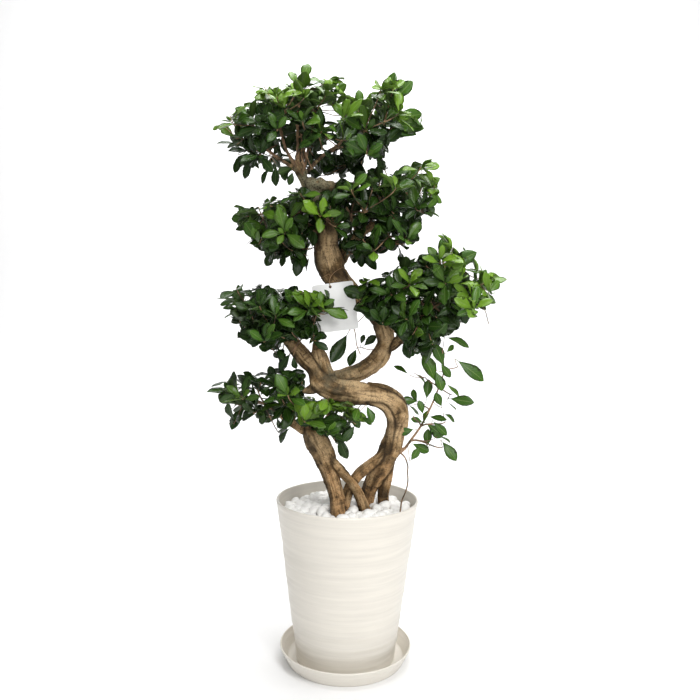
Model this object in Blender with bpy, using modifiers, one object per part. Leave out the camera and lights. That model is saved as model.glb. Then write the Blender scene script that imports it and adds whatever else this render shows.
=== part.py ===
"""Potted chinese banyan: a winding trunk on aerial roots, leafy pads, white pot, saucer and pebbles.

Metres, +Z up. The origin is the middle of the saucer's underside, on the pot's axis. -Y is the front.
"""

import math
import random
from functools import partial

import bmesh
import bpy
from mathutils import Matrix, Vector
from mathutils.bvhtree import BVHTree

CM = 0.01
GAP = 0.0003

# Saucer and pot
TURN_STEPS = 32
SAUCER_BASE_R = 0.103
SAUCER_RIM_R = 0.119
SAUCER_HEIGHT = 0.030
SAUCER_FLOOR = 0.004
SAUCER_WALL = 0.0028
POT_Z = SAUCER_FLOOR + GAP
POT_BASE_R = 0.0890
POT_RIM_R = 0.1275
POT_RIM_Z = 0.297
POT_WALL = 0.0030
POT_LIP = 0.0042
POT_FOOT = 0.003
POT_FLOOR = 0.003
POT_FOOT_IN = 0.012
DRAIN_R = 0.006
DRAIN_RING_R = 0.045
DRAIN_COUNT = 4

# Soil and pebbles
SOIL_TOP = 0.262
PEBBLE_BED = 0.004
PEBBLE_CELL = 0.0185
PEBBLE_RINGS = 5
PEBBLE_RISE = 0.0095
PEBBLE_CROWN = 0.62
HEAP_RISE = 0.010
HEAP_R = 0.070
ROOT_CLEAR = 0.0004

# Leaves and twigs
LEAF_LENGTH = 0.047
LEAF_WIDTH = 0.0235
LEAF_THICK = 0.0008
LEAF_BEND_AT = 0.58
LEAF_END_WIDTH = 0.40
LEAF_DROOP = math.radians(16.0)
STALK_R = 0.0028
STALK_STEP = 0.0040
TWIG_FORK = 0.0065
TWIG_END_R = 0.0012
LEAVES_AT_TIPS = (4, 3, 2)
SPRAY_TRIES = 12
TWIG_TRIES = 30
TWIG_SHIFT = 0.012
SPRIG_LEAVES_A_TIP = 2
TRIES = 16
PROBE_THICK = 0.0024
PROBE_START = 0.16
PROBE_END_R = 0.0037
FLAW_WELD = 2e-6

# Tag
TAG_WIDTH = 0.072
TAG_HEIGHT = 0.083
TAG_THICK = 0.0008
TAG_CENTRE = (-2.55, -3.35, 63.9)
TAG_TURN = math.radians(8.0)
TAG_HOLE_R = 0.0024
TAG_HOLE_DROP = 0.006
STRING_R = 0.0006
STRING_KNOT = 11
STRING_POINTS = 17
STRING_OFF = 0.0020
STRING_STEP = 0.0018

# Where the routes below were read from: each x and z is the spot that a point covers on the middle
# plane, y = 0, when it is looked at from here.
EYE = Vector((0.0, -1.27, 0.65))

# Routes of the trunk, root to tip: x, z as seen, depth y, radius, all in cm
STEMS = {
    "left_leg": [
        (-0.6, 19.0, -4.6, 1.2), (-1.4, 26.5, -4.8, 1.45), (-1.75, 29.3, -4.3, 1.4),
        (-2.5, 31.9, -3.8, 1.4), (-3.4, 35.0, -3.0, 1.45), (-4.2, 37.7, -2.2, 1.9),
        (-5.3, 39.8, -1.5, 2.1), (-6.4, 41.6, -1.0, 1.8), (-6.9, 43.4, -0.6, 1.2),
    ],
    "inner_root": [
        (-3.9, 37.0, -2.6, 1.2), (-2.0, 35.3, -3.3, 1.0), (0.7, 32.6, -3.8, 0.85),
        (1.8, 31.0, -3.7, 0.95), (2.9, 28.5, -3.4, 1.0), (3.6, 25.0, -3.0, 0.9),
        (3.9, 20.0, -2.8, 0.7),
    ],
    "strut": [
        (7.0, 38.6, -0.5, 1.2), (5.6, 36.9, -1.0, 0.95), (3.8, 35.4, -1.4, 0.85),
        (2.0, 33.7, -1.9, 0.85), (0.8, 32.0, -2.3, 0.9), (-0.1, 29.6, -2.7, 0.9),
        (-0.5, 26.0, -2.9, 0.9), (-0.6, 20.0, -2.8, 0.7),
    ],
    "right_leg": [
        (2.6, 20.0, 0.4, 1.1), (3.3, 27.5, 0.0, 1.3), (4.2, 31.3, -0.2, 1.4),
        (5.2, 33.4, -0.3, 1.45), (6.5, 35.7, -0.3, 1.6), (7.4, 38.3, -0.2, 1.75),
        (8.2, 41.4, -0.1, 1.65), (8.9, 44.2, -0.3, 1.8), (8.6, 46.0, -0.8, 1.95),
        (6.7, 47.5, -1.6, 1.85), (4.0, 48.2, -2.4, 1.75), (0.4, 48.6, -3.0, 1.7),
        (-2.6, 49.2, -3.0, 1.8), (-4.6, 50.4, -2.6, 1.95), (-6.1, 52.6, -2.1, 1.8),
        (-8.2, 54.8, -1.6, 1.6), (-10.1, 57.2, -1.1, 1.25), (-11.5, 59.4, -0.8, 1.0),
        (-12.3, 61.2, -0.6, 0.75),
    ],
    "outer_leg": [
        (7.0, 20.5, 0.8, 0.75), (6.8, 27.7, 0.7, 0.9), (6.5, 30.0, 0.6, 0.9),
        (6.9, 33.0, 0.4, 0.9), (7.4, 36.4, 0.2, 1.15), (7.9, 38.9, 0.4, 1.1),
    ],
    "outer_strand": [
        (9.0, 42.4, 0.5, 0.9), (9.7, 45.2, 0.0, 1.05), (8.8, 47.6, -0.9, 1.0),
        (6.3, 49.4, -1.7, 0.85), (3.4, 50.0, -2.3, 0.7),
    ],
    "inner_strand": [
        (7.2, 38.0, -1.2, 0.8), (7.6, 41.5, -1.4, 0.7), (7.4, 44.8, -1.9, 0.8),
        (6.0, 46.4, -2.8, 0.8), (3.6, 47.2, -3.3, 0.6),
    ],
    "knee_stub": [
        (-4.4, 51.0, -2.4, 1.6), (-5.0, 53.6, -1.9, 1.5), (-5.5, 55.8, -1.6, 1.25),
        (-5.7, 57.6, -1.6, 0.75),
    ],
    "knee_spur": [(-5.0, 50.0, -2.0, 1.1), (-6.9, 49.1, -1.7, 0.75), (-8.2, 48.8, -1.6, 0.3)],
    "upper_trunk": [
        (-4.8, 51.2, -1.6, 1.6), (-2.2, 51.3, -0.1, 1.5), (0.4, 51.9, 0.7, 1.55),
        (3.0, 53.1, 1.0, 1.6), (5.2, 55.2, 0.9, 1.65), (6.4, 57.8, 0.5, 1.6),
        (6.0, 60.2, 0.2, 1.5), (4.5, 62.6, 0.0, 1.35), (2.5, 64.6, 0.0, 1.3),
        (0.6, 66.4, 0.0, 1.6), (-1.6, 68.2, 0.0, 2.1), (-2.9, 70.0, 0.0, 2.3),
        (-3.6, 72.2, 0.0, 2.4), (-4.1, 74.4, 0.1, 2.2), (-4.0, 77.0, 0.3, 1.95),
        (-4.4, 80.0, 0.5, 1.75), (-5.2, 82.6, 0.4, 1.8), (-5.8, 85.0, 0.2, 2.2),
    ],
    "crown": [
        (-5.4, 82.4, 0.2, 1.4), (-7.2, 84.6, 0.0, 1.1), (-8.5, 86.4, 0.0, 0.95),
        (-9.3, 87.8, 0.1, 0.7),
    ],
    "right_bough": [
        (6.0, 56.4, 0.6, 1.2), (8.3, 57.7, 0.2, 0.95), (10.2, 59.4, 0.0, 0.8),
        (12.0, 61.8, -0.2, 0.6), (13.6, 64.4, -0.4, 0.48), (14.9, 67.0, -0.6, 0.38),
    ],
    "shade_bough": [
        (-2.6, 71.4, 0.6, 1.2), (-1.0, 73.6, 0.9, 0.9), (0.7, 75.8, 0.8, 0.75),
        (2.8, 77.5, 0.4, 0.62), (5.6, 78.9, 0.0, 0.5), (8.4, 80.4, -0.3, 0.4),
    ],
    "left_bough": [
        (-4.8, 75.4, 0.2, 1.0), (-7.4, 77.2, -0.3, 0.65), (-9.8, 78.4, -0.7, 0.5),
        (-12.0, 79.0, -1.0, 0.36),
    ],
    "low_bough": [
        (-5.6, 40.4, -1.3, 1.2), (-8.0, 42.0, -1.3, 0.85), (-9.8, 42.9, -1.4, 0.65),
        (-12.6, 44.7, -1.6, 0.38),
    ],
    "hanging_root": [
        (9.2, 38.0, -0.2, 0.16), (10.4, 36.8, -0.5, 0.14), (10.9, 34.6, -1.2, 0.13),
        (10.8, 32.2, -2.2, 0.13), (10.1, 29.6, -3.4, 0.13), (9.4, 26.6, -4.2, 0.13),
        (9.2, 24.6, -4.4, 0.13),
    ],
}
LEGS = ("left_leg", "inner_root", "strut", "right_leg", "outer_leg", "hanging_root")
BIG_STEMS = ("left_leg", "right_leg", "upper_trunk")

# The healed cut on top of the trunk: middle as seen, radii and lean
KNOB_AT = (-5.7, 85.2, 0.0)
KNOB_R = (0.027, 0.024, 0.0125)
KNOB_LEAN = math.radians(-9.0)

# Sprays: the stem that each grows from, the points of its own branch in the trunk (the last one is
# where the spray takes over), and its shoot tips: x, z as seen, depth y, in cm.
# A branch point also has a radius.
SPRAYS = {
    "top_left": (
        "crown",
        [(-9.2, 87.4, 0.0, 0.5), (-11.4, 89.3, -0.3, 0.4), (-14.0, 90.6, -0.6, 0.28)],
        [(-19.4, 93.2, -1.2), (-17.4, 96.2, -3.2), (-16.6, 90.2, -3.4)],
    ),
    "top_left_upper": (
        "crown",
        [(-9.3, 87.8, 0.0, 0.5), (-10.9, 89.8, -0.9, 0.4), (-11.6, 91.6, -1.3, 0.34),
         (-12.2, 93.8, -1.8, 0.28)],
        [(-14.4, 99.0, -2.4), (-11.8, 98.0, -6.0), (-16.0, 95.4, -7.4)],
    ),
    "top_middle": (
        "crown",
        [(-9.3, 87.8, 0.1, 0.5), (-9.9, 91.2, 0.7, 0.36), (-9.5, 95.4, 1.0, 0.28)],
        [(-8.8, 101.6, 0.4), (-11.8, 99.8, 3.6), (-6.2, 98.6, 4.8)],
    ),
    "top_front": (
        "crown",
        [(-8.5, 86.8, -0.2, 0.5), (-8.0, 89.6, -1.3, 0.36), (-7.5, 91.8, -3.0, 0.28)],
        [(-5.2, 94.4, -7.0), (-8.6, 96.0, -7.8), (-6.4, 98.6, -4.2)],
    ),
    "top_right": (
        "crown",
        [(-8.4, 86.8, 0.0, 0.55), (-6.5, 89.2, 0.0, 0.45), (-4.2, 90.9, -0.2, 0.4),
         (-2.2, 92.2, -0.5, 0.34), (-0.7, 94.7, -0.8, 0.26)],
        [(-3.6, 99.2, -1.0), (1.2, 98.0, -2.2), (2.6, 94.6, -6.0)],
    ),
    "top_far_right": (
        "top_right",
        [(-3.0, 91.7, -0.3, 0.38), (0.4, 92.4, 0.4, 0.32), (3.2, 93.6, 0.5, 0.26)],
        [(6.4, 99.2, 0.4), (8.0, 95.8, -0.6), (5.8, 91.8, -2.6)],
    ),
    "top_back": (
        "crown",
        [(-8.8, 87.2, 0.4, 0.5), (-8.8, 90.0, 2.4, 0.38), (-8.6, 92.6, 5.0, 0.28)],
        [(-5.6, 96.0, 9.4), (-10.6, 96.8, 9.8), (-14.2, 94.0, 7.6)],
    ),
    "top_back_right": (
        "top_right",
        [(-4.4, 90.6, 0.1, 0.38), (-2.8, 91.0, 2.2, 0.32), (-1.4, 91.8, 4.6, 0.26)],
        [(1.2, 95.6, 7.6), (3.4, 91.2, 6.2), (0.4, 88.4, 5.0)],
    ),
    "second_left": (
        "left_bough",
        [(-9.4, 78.3, -0.7, 0.45), (-11.6, 79.4, -1.6, 0.34), (-13.0, 79.9, -1.8, 0.26)],
        [(-17.0, 80.0, -2.2), (-14.6, 82.0, 0.4), (-14.8, 77.4, -5.0)],
    ),
    "second_left_low": (
        "left_bough",
        [(-8.6, 77.8, -0.4, 0.45), (-10.0, 77.0, 0.6, 0.34), (-11.2, 76.2, 1.2, 0.26)],
        [(-13.6, 74.8, -0.6), (-10.8, 73.6, 3.0), (-9.4, 74.0, -2.2)],
    ),
    "second_middle_left": (
        "left_bough",
        [(-6.6, 76.8, -0.4, 0.5), (-7.6, 78.4, -1.6, 0.36), (-8.4, 79.6, -2.2, 0.26)],
        [(-7.4, 82.2, -4.6), (-10.6, 82.0, -2.2), (-11.2, 79.2, -6.0)],
    ),
    "second_middle": (
        "shade_bough",
        [(1.2, 76.2, 0.5, 0.42), (0.9, 77.8, -1.2, 0.32), (0.2, 79.4, -2.4, 0.24)],
        [(-2.4, 83.8, -3.6), (0.6, 82.8, -4.8), (-3.6, 80.6, -6.2)],
    ),
    "second_right": (
        "shade_bough",
        [(7.4, 79.9, -0.2, 0.4), (9.0, 81.0, -0.4, 0.34), (10.0, 81.9, -0.6, 0.26)],
        [(12.4, 85.0, -0.6), (12.8, 80.6, -2.4), (8.6, 85.4, -3.0)],
    ),
    "second_right_upper": (
        "shade_bough",
        [(3.2, 77.6, 0.3, 0.45), (3.8, 79.6, 0.6, 0.34), (4.2, 81.4, 0.6, 0.26)],
        [(5.0, 85.6, 0.2), (1.8, 84.8, 2.6), (6.2, 82.8, -3.8)],
    ),
    "second_right_low": (
        "shade_bough",
        [(4.2, 78.1, 0.1, 0.42), (5.6, 77.0, -0.9, 0.34), (6.6, 75.9, -1.6, 0.26)],
        [(9.4, 75.2, -2.2), (4.2, 73.4, -2.2), (10.8, 77.4, -4.4)],
    ),
    "second_back": (
        "upper_trunk",
        [(-4.0, 77.6, 1.2, 0.7), (-2.2, 78.8, 3.4, 0.42), (-0.8, 79.6, 5.2, 0.28)],
        [(2.0, 81.4, 8.4), (-2.8, 82.6, 8.8), (4.4, 78.0, 7.2)],
    ),
    "second_back_left": (
        "upper_trunk",
        [(-4.4, 76.4, 1.2, 0.7), (-6.6, 77.6, 3.2, 0.42), (-8.2, 78.8, 4.8, 0.28)],
        [(-11.8, 80.6, 6.6), (-7.6, 82.4, 8.4), (-12.4, 77.0, 7.0)],
    ),
    "left_outer": (
        "right_leg",
        [(-11.9, 60.4, -0.7, 0.6), (-13.0, 61.6, -0.9, 0.42), (-14.0, 62.3, -1.1, 0.28)],
        [(-18.8, 64.4, -1.6), (-17.2, 60.4, -2.8), (-15.8, 65.4, 1.2)],
    ),
    "left_middle": (
        "right_leg",
        [(-12.1, 60.8, -0.6, 0.6), (-12.0, 62.2, -0.8, 0.42), (-11.6, 63.2, -1.1, 0.28)],
        [(-10.6, 65.4, -2.8), (-13.6, 65.2, -3.8), (-9.0, 63.0, -5.4)],
    ),
    "left_back": (
        "right_leg",
        [(-11.6, 59.6, -0.4, 0.6), (-11.6, 60.8, 1.2, 0.42), (-11.8, 61.9, 2.8, 0.28)],
        [(-12.2, 65.0, 5.0), (-8.8, 62.8, 4.6), (-15.2, 61.4, 6.2)],
    ),
    "left_low": (
        "right_leg",
        [(-10.6, 58.0, -1.1, 0.6), (-12.0, 58.3, -1.8, 0.42), (-13.0, 58.4, -2.2, 0.28)],
        [(-16.0, 58.2, -1.8), (-12.6, 56.6, -4.0), (-14.4, 57.2, 2.2)],
    ),
    "left_inner": (
        "knee_stub",
        [(-5.7, 57.2, -1.6, 0.6), (-6.2, 58.6, -2.6, 0.42), (-6.4, 59.6, -3.4, 0.28)],
        [(-6.0, 64.4, -5.6), (-8.2, 60.6, -4.8), (-6.4, 58.0, -6.2)],
    ),
    "right_top": (
        "right_bough",
        [(14.4, 65.9, -0.5, 0.42), (15.2, 67.8, -0.6, 0.34), (15.6, 69.0, -0.7, 0.26)],
        [(16.6, 73.0, -1.0), (13.4, 71.4, -2.6), (19.4, 71.2, -0.2)],
    ),
    "right_outer": (
        "right_bough",
        [(13.4, 64.0, -0.4, 0.45), (15.8, 65.6, -0.6, 0.36), (17.6, 66.5, -0.6, 0.26)],
        [(23.8, 68.6, -0.8), (21.4, 64.8, -2.2), (19.0, 68.8, -3.6)],
    ),
    "right_inner": (
        "right_bough",
        [(11.4, 61.0, -0.2, 0.5), (10.4, 63.4, -0.8, 0.36), (9.9, 65.2, -1.1, 0.26)],
        [(9.4, 70.0, -1.6), (7.0, 66.8, -2.6), (11.8, 67.2, -4.6)],
    ),
    "right_front": (
        "right_bough",
        [(12.4, 62.4, -0.4, 0.45), (13.6, 63.2, -2.0, 0.36), (14.4, 63.8, -3.2, 0.26)],
        [(17.0, 65.6, -5.0), (13.6, 66.2, -6.4), (17.4, 62.0, -4.4)],
    ),
    "right_shoot": (
        "upper_trunk",
        [(5.4, 61.2, 0.1, 0.7), (5.9, 62.2, -1.8, 0.36), (5.6, 63.0, -3.0, 0.24)],
        [(3.0, 66.6, -4.8), (6.6, 62.0, -5.2), (3.6, 63.2, -5.8)],
    ),
    "right_low": (
        "right_bough",
        [(10.6, 59.9, -0.2, 0.5), (12.2, 60.0, -1.0, 0.36), (13.2, 59.8, -1.6, 0.26)],
        [(16.2, 60.2, -1.6), (13.8, 57.2, -2.2), (10.6, 58.6, -4.4)],
    ),
    "right_back": (
        "right_bough",
        [(12.0, 61.6, 0.0, 0.5), (12.2, 63.0, 2.0, 0.38), (12.4, 64.2, 4.0, 0.28)],
        [(14.8, 67.4, 7.6), (10.4, 67.4, 6.6), (17.2, 64.2, 6.2)],
    ),
    "right_back_low": (
        "right_bough",
        [(10.2, 59.4, 0.2, 0.5), (11.6, 59.8, 1.6, 0.38), (12.6, 60.0, 2.8, 0.28)],
        [(15.6, 60.0, 4.4), (11.8, 57.8, 4.6), (17.6, 61.4, 3.2)],
    ),
    "low_left": (
        "low_bough",
        [(-11.6, 44.1, -1.5, 0.42), (-12.9, 45.0, -1.7, 0.34), (-14.0, 45.8, -1.9, 0.26)],
        [(-21.2, 48.8, -2.2), (-17.0, 44.8, -3.6), (-16.4, 49.4, -0.4)],
    ),
    "low_middle": (
        "low_bough",
        [(-9.6, 42.8, -1.4, 0.5), (-9.8, 44.4, -1.8, 0.36), (-10.0, 45.6, -2.0, 0.26)],
        [(-12.4, 49.4, -1.4), (-8.8, 49.0, -1.6), (-11.6, 46.4, -5.2)],
    ),
    "low_back": (
        "left_leg",
        [(-6.6, 42.2, -0.4, 0.7), (-7.6, 43.6, 1.2, 0.42), (-8.4, 44.8, 2.6, 0.28)],
        [(-12.4, 47.0, 4.6), (-8.4, 48.2, 5.6), (-14.6, 44.2, 3.2)],
    ),
    "low_inner": (
        "left_leg",
        [(-6.5, 42.4, -1.2, 0.7), (-5.6, 43.6, -2.2, 0.4), (-4.8, 44.5, -2.8, 0.28)],
        [(-3.4, 46.6, -4.6), (0.2, 44.2, -4.2), (-5.4, 42.8, -6.2)],
    ),
}

# The long thin sprig at the right: its stem from the trunk up into the right pad, and its side twigs
SPRIG_BRANCH = [(8.0, 37.2, -0.1, 0.6), (9.4, 38.1, -0.2, 0.4), (10.3, 38.8, -0.3, 0.28)]
SPRIG_STEM = [
    (10.3, 38.8, -0.3), (11.4, 40.4, -0.6), (12.9, 42.6, -1.0), (14.6, 46.0, -1.2),
    (15.9, 49.3, -1.2), (16.9, 52.6, -1.0), (16.8, 55.2, -0.8),
]
SPRIG_TWIGS = [
    (6, (16.6, 56.4, -2.0)), (5, (19.4, 53.6, -0.8)), (4, (13.6, 51.6, -0.8)),
    (4, (18.4, 48.6, -2.4)), (3, (12.6, 47.0, 0.2)), (2, (17.4, 43.6, -2.2)),
    (2, (11.6, 44.6, -2.6)), (1, (14.4, 40.2, -0.6)), (1, (17.0, 39.0, 0.8)),
]

# Colours, roughness
FINISHES = {
    "white_plastic": ((0.86, 0.82, 0.76), 0.45),
    "soil": ((0.055, 0.035, 0.022), 0.95),
    "white_stone": ((0.88, 0.87, 0.84), 0.6),
    "bark": ((0.36, 0.24, 0.13), 0.85),
    "leaf": ((0.055, 0.17, 0.035), 0.35),
    "card": ((0.9, 0.88, 0.85), 0.6),
    "string": ((0.25, 0.15, 0.08), 0.8),
}


def seen(x, z, y):
    """The point at depth y (cm) that covers the spot x, z (cm) of the middle plane, seen from EYE."""
    spot = Vector((x * CM, 0.0, z * CM))
    reach = 1.0 - y * CM / EYE.y
    return EYE + (spot - EYE) * reach


def new_collection(name):
    collection = bpy.data.collections.new(name)
    bpy.context.scene.collection.children.link(collection)
    return collection


def finish(name):
    material = bpy.data.materials.get(name)
    if material:
        return material
    colour, roughness = FINISHES[name]
    material = bpy.data.materials.new(name)
    material.use_nodes = True
    shader = material.node_tree.nodes["Principled BSDF"]
    shader.inputs["Base Color"].default_value = (*colour, 1.0)
    shader.inputs["Roughness"].default_value = roughness
    shader.inputs["Metallic"].default_value = 0.0
    return material


def add_object(name, data, collection, material=None):
    obj = bpy.data.objects.new(name, data)
    collection.objects.link(obj)
    if material:
        data.materials.clear()
        data.materials.append(finish(material))
    return obj


def bare_mesh(obj, collection):
    """A mesh object of what obj evaluates to, with its caps welded; obj is removed."""
    graph = bpy.context.evaluated_depsgraph_get()
    data = bpy.data.meshes.new_from_object(obj.evaluated_get(graph))
    shape = bmesh.new()
    shape.from_mesh(data)
    bmesh.ops.remove_doubles(shape, verts=shape.verts, dist=1e-6)
    shape.to_mesh(data)
    shape.free()
    solid = add_object(obj.name + "_solid", data, collection)
    solid.matrix_world = obj.matrix_world.copy()
    bpy.data.objects.remove(obj)
    return solid


def tube(name, points, radii, collection, resolution, cyclic=False):
    """A round bar through the points, with a radius at each, as a closed mesh."""
    data = bpy.data.curves.new(name, "CURVE")
    data.dimensions = "3D"
    data.bevel_depth = 1.0
    data.bevel_resolution = resolution
    data.use_fill_caps = not cyclic
    spline = data.splines.new("POLY")
    spline.points.add(len(points) - 1)
    spline.use_cyclic_u = cyclic
    for knot, point, radius in zip(spline.points, points, radii):
        knot.co = (*point, 1.0)
        knot.radius = radius
    return bare_mesh(add_object(name, data, collection), collection)


def keep_main_body(data):
    """Drops every loose scrap and inner skin, so that one closed body is left."""
    shape = bmesh.new()
    shape.from_mesh(data)
    left = set(shape.verts)
    bodies = []
    while left:
        body = [left.pop()]
        for vert in body:
            for edge in vert.link_edges:
                other = edge.other_vert(vert)
                if other in left:
                    left.remove(other)
                    body.append(other)
        bodies.append(body)
    bodies.sort(key=len, reverse=True)
    for body in bodies[1:]:
        bmesh.ops.delete(shape, geom=body, context="VERTS")
    shape.to_mesh(data)
    shape.free()


def apply_boolean(obj, operation, solver, collection=None, cutter=None):
    """Applies one Boolean to obj, with a collection's objects or with one cutter."""
    mod = obj.modifiers.new("join", "BOOLEAN")
    mod.operation = operation
    mod.solver = solver
    if collection:
        mod.operand_type = "COLLECTION"
        mod.collection = collection
    else:
        mod.object = cutter
    graph = bpy.context.evaluated_depsgraph_get()
    data = bpy.data.meshes.new_from_object(obj.evaluated_get(graph))
    obj.modifiers.clear()
    obj.data = data
    keep_main_body(data)


def fuse(name, pieces, collection, material, solver="EXACT"):
    """Joins the closed mesh objects in pieces into one named solid and removes the others."""
    repeats = new_collection(name + "_repeats")
    first, others = pieces[0], pieces[1:]
    for piece in pieces:
        for home in list(piece.users_collection):
            home.objects.unlink(piece)
    collection.objects.link(first)
    for piece in others:
        repeats.objects.link(piece)
    first.name = name
    apply_boolean(first, "UNION", solver, collection=repeats)
    for piece in others:
        bpy.data.objects.remove(piece)
    bpy.data.collections.remove(repeats)
    first.data.materials.clear()
    first.data.materials.append(finish(material))
    return first


def turned(name, profile, collection, material):
    """A body turned about Z from a profile of r, z that runs down its outer side."""
    data = bpy.data.meshes.new(name)
    points = [(r, 0.0, z) for r, z in profile]
    edges = [(i, i + 1) for i in range(len(points) - 1)]
    if profile[0][0] > 0.0:
        edges.append((len(points) - 1, 0))
    data.from_pydata(points, edges, [])
    obj = add_object(name, data, collection, material)
    screw = obj.modifiers.new("turn", "SCREW")
    screw.axis = "Z"
    screw.steps = TURN_STEPS
    screw.render_steps = TURN_STEPS
    screw.use_merge_vertices = True
    screw.merge_threshold = 1e-5
    return obj


def pot_radius(z):
    """The pot's outer radius at height z."""
    share = (z - POT_Z) / (POT_RIM_Z - POT_Z)
    return POT_BASE_R + (POT_RIM_R - POT_BASE_R) * share


def inner_radius(z):
    return pot_radius(z) - POT_WALL - GAP


def add_saucer(parts):
    rim_in = SAUCER_RIM_R - SAUCER_WALL
    profile = [
        (0.0, SAUCER_FLOOR),
        (SAUCER_BASE_R - 0.002, SAUCER_FLOOR),
        (SAUCER_BASE_R + 0.002, SAUCER_FLOOR + 0.002),
        (rim_in, SAUCER_HEIGHT),
        (SAUCER_RIM_R, SAUCER_HEIGHT),
        (SAUCER_RIM_R, SAUCER_HEIGHT - 0.0025),
        (SAUCER_RIM_R - 0.0015, SAUCER_HEIGHT - 0.0040),
        (SAUCER_BASE_R + 0.003, 0.0022),
        (SAUCER_BASE_R, 0.0),
        (0.0, 0.0),
    ]
    return turned("saucer", profile, parts, "white_plastic")


def add_pot(parts, cutters):
    """The tapered pot with a thicker lip, a foot ring and drain holes."""
    rim_in = POT_RIM_R - POT_WALL
    floor_z = POT_Z + POT_FOOT
    floor_top = floor_z + POT_FLOOR
    lip_z = POT_RIM_Z - 0.010
    profile = [
        (0.0, floor_top),
        (pot_radius(floor_top) - POT_WALL, floor_top),
        (pot_radius(lip_z) - POT_WALL, lip_z),
        (rim_in, POT_RIM_Z - 0.001),
        (POT_RIM_R - 0.002, POT_RIM_Z),
        (POT_RIM_R, POT_RIM_Z - 0.0015),
        (pot_radius(lip_z) + POT_LIP - POT_WALL - 0.0008, lip_z + 0.004),
        (pot_radius(lip_z), lip_z),
        (POT_BASE_R, POT_Z + 0.001),
        (POT_BASE_R - 0.001, POT_Z),
        (POT_BASE_R - POT_FOOT_IN, POT_Z),
        (POT_BASE_R - POT_FOOT_IN - 0.001, floor_z),
        (0.0, floor_z),
    ]
    pot = turned("pot", profile, parts, "white_plastic")
    for i in range(DRAIN_COUNT):
        turn = 2.0 * math.pi * (i + 0.5) / DRAIN_COUNT
        spot = (DRAIN_RING_R * math.cos(turn), DRAIN_RING_R * math.sin(turn), floor_z)
        bpy.ops.mesh.primitive_cylinder_add(vertices=10, radius=DRAIN_R, depth=0.02, location=spot)
        drill = bpy.context.object
        drill.name = f"drain_{i}"
        drill.hide_render = True
        drill.display_type = "WIRE"
        for home in list(drill.users_collection):
            home.objects.unlink(drill)
        cutters.objects.link(drill)
        cut = pot.modifiers.new(f"drain_{i}", "BOOLEAN")
        cut.operation = "DIFFERENCE"
        cut.object = drill
    return pot


def stem_points(route):
    return [seen(x, z, y) for x, z, y, r in route]


def stem_radii(route, extra=0.0):
    return [r * CM + extra for x, z, y, r in route]


def sides_of(name):
    """The bevel resolution of a stem: more sides on a thick one."""
    if name in BIG_STEMS:
        return 3
    return 1 if STEMS[name][0][3] > 0.5 else 0


def branch_route(branch):
    """A spray's branch with fewer bends: its root, its end and at most one point between."""
    return [branch[0], *branch[2:]]


def add_trunk(parts):
    """The trunk, its roots and boughs, the healed cut and each spray's own branch, as one body."""
    pieces = []
    for name, route in STEMS.items():
        pieces.append(tube(name, stem_points(route), stem_radii(route), parts, sides_of(name)))
    for name, (parent, branch, tips) in SPRAYS.items():
        short = branch_route(branch)
        pieces.append(tube(name, stem_points(short), stem_radii(short), parts, 0))
    short = branch_route(SPRIG_BRANCH)
    pieces.append(tube("sprig", stem_points(short), stem_radii(short), parts, 0))
    bpy.ops.mesh.primitive_ico_sphere_add(subdivisions=2, radius=1.0)
    knob = bpy.context.object
    for home in list(knob.users_collection):
        home.objects.unlink(knob)
    parts.objects.link(knob)
    lean = Matrix.Rotation(-KNOB_LEAN, 4, "Y")
    knob.matrix_world = Matrix.Translation(seen(*KNOB_AT)) @ lean @ Matrix.Diagonal((*KNOB_R, 1.0))
    pieces.insert(1, knob)
    return fuse("trunk", pieces, parts, "bark", "MANIFOLD")


def leg_cutters():
    """The legs a little thicker, each a solid of its own, that open plain holes for the legs."""
    holes = new_collection("root_holes")
    for leg in LEGS:
        points = stem_points(STEMS[leg])
        foot, above = (0, 1) if points[0].z < points[-1].z else (-1, -2)
        points[foot] = points[foot] + (points[foot] - points[above]).normalized() * ROOT_CLEAR
        radii = stem_radii(STEMS[leg], ROOT_CLEAR * 1.4)
        cutter = tube(leg + "_hole", points, radii, holes, sides_of(leg))
        cutter.hide_render = True
        cutter.display_type = "WIRE"
    return holes


def heap_height(x, y):
    """The height of the valleys between the pebbles: a low heap round the roots."""
    away = math.hypot(x - 0.015, y + 0.03) / HEAP_R
    return SOIL_TOP + PEBBLE_BED + HEAP_RISE * math.exp(-away * away)


def add_soil(parts, holes):
    bottom = POT_Z + POT_FOOT + POT_FLOOR + GAP
    profile = [
        (0.0, SOIL_TOP),
        (inner_radius(SOIL_TOP), SOIL_TOP),
        (inner_radius(bottom), bottom),
        (0.0, bottom),
    ]
    soil = bare_mesh(turned("soil", profile, parts, "soil"), parts)
    soil.name = "soil"
    apply_boolean(soil, "DIFFERENCE", "EXACT", collection=holes)
    soil.data.materials.clear()
    soil.data.materials.append(finish("soil"))
    return soil


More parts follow.
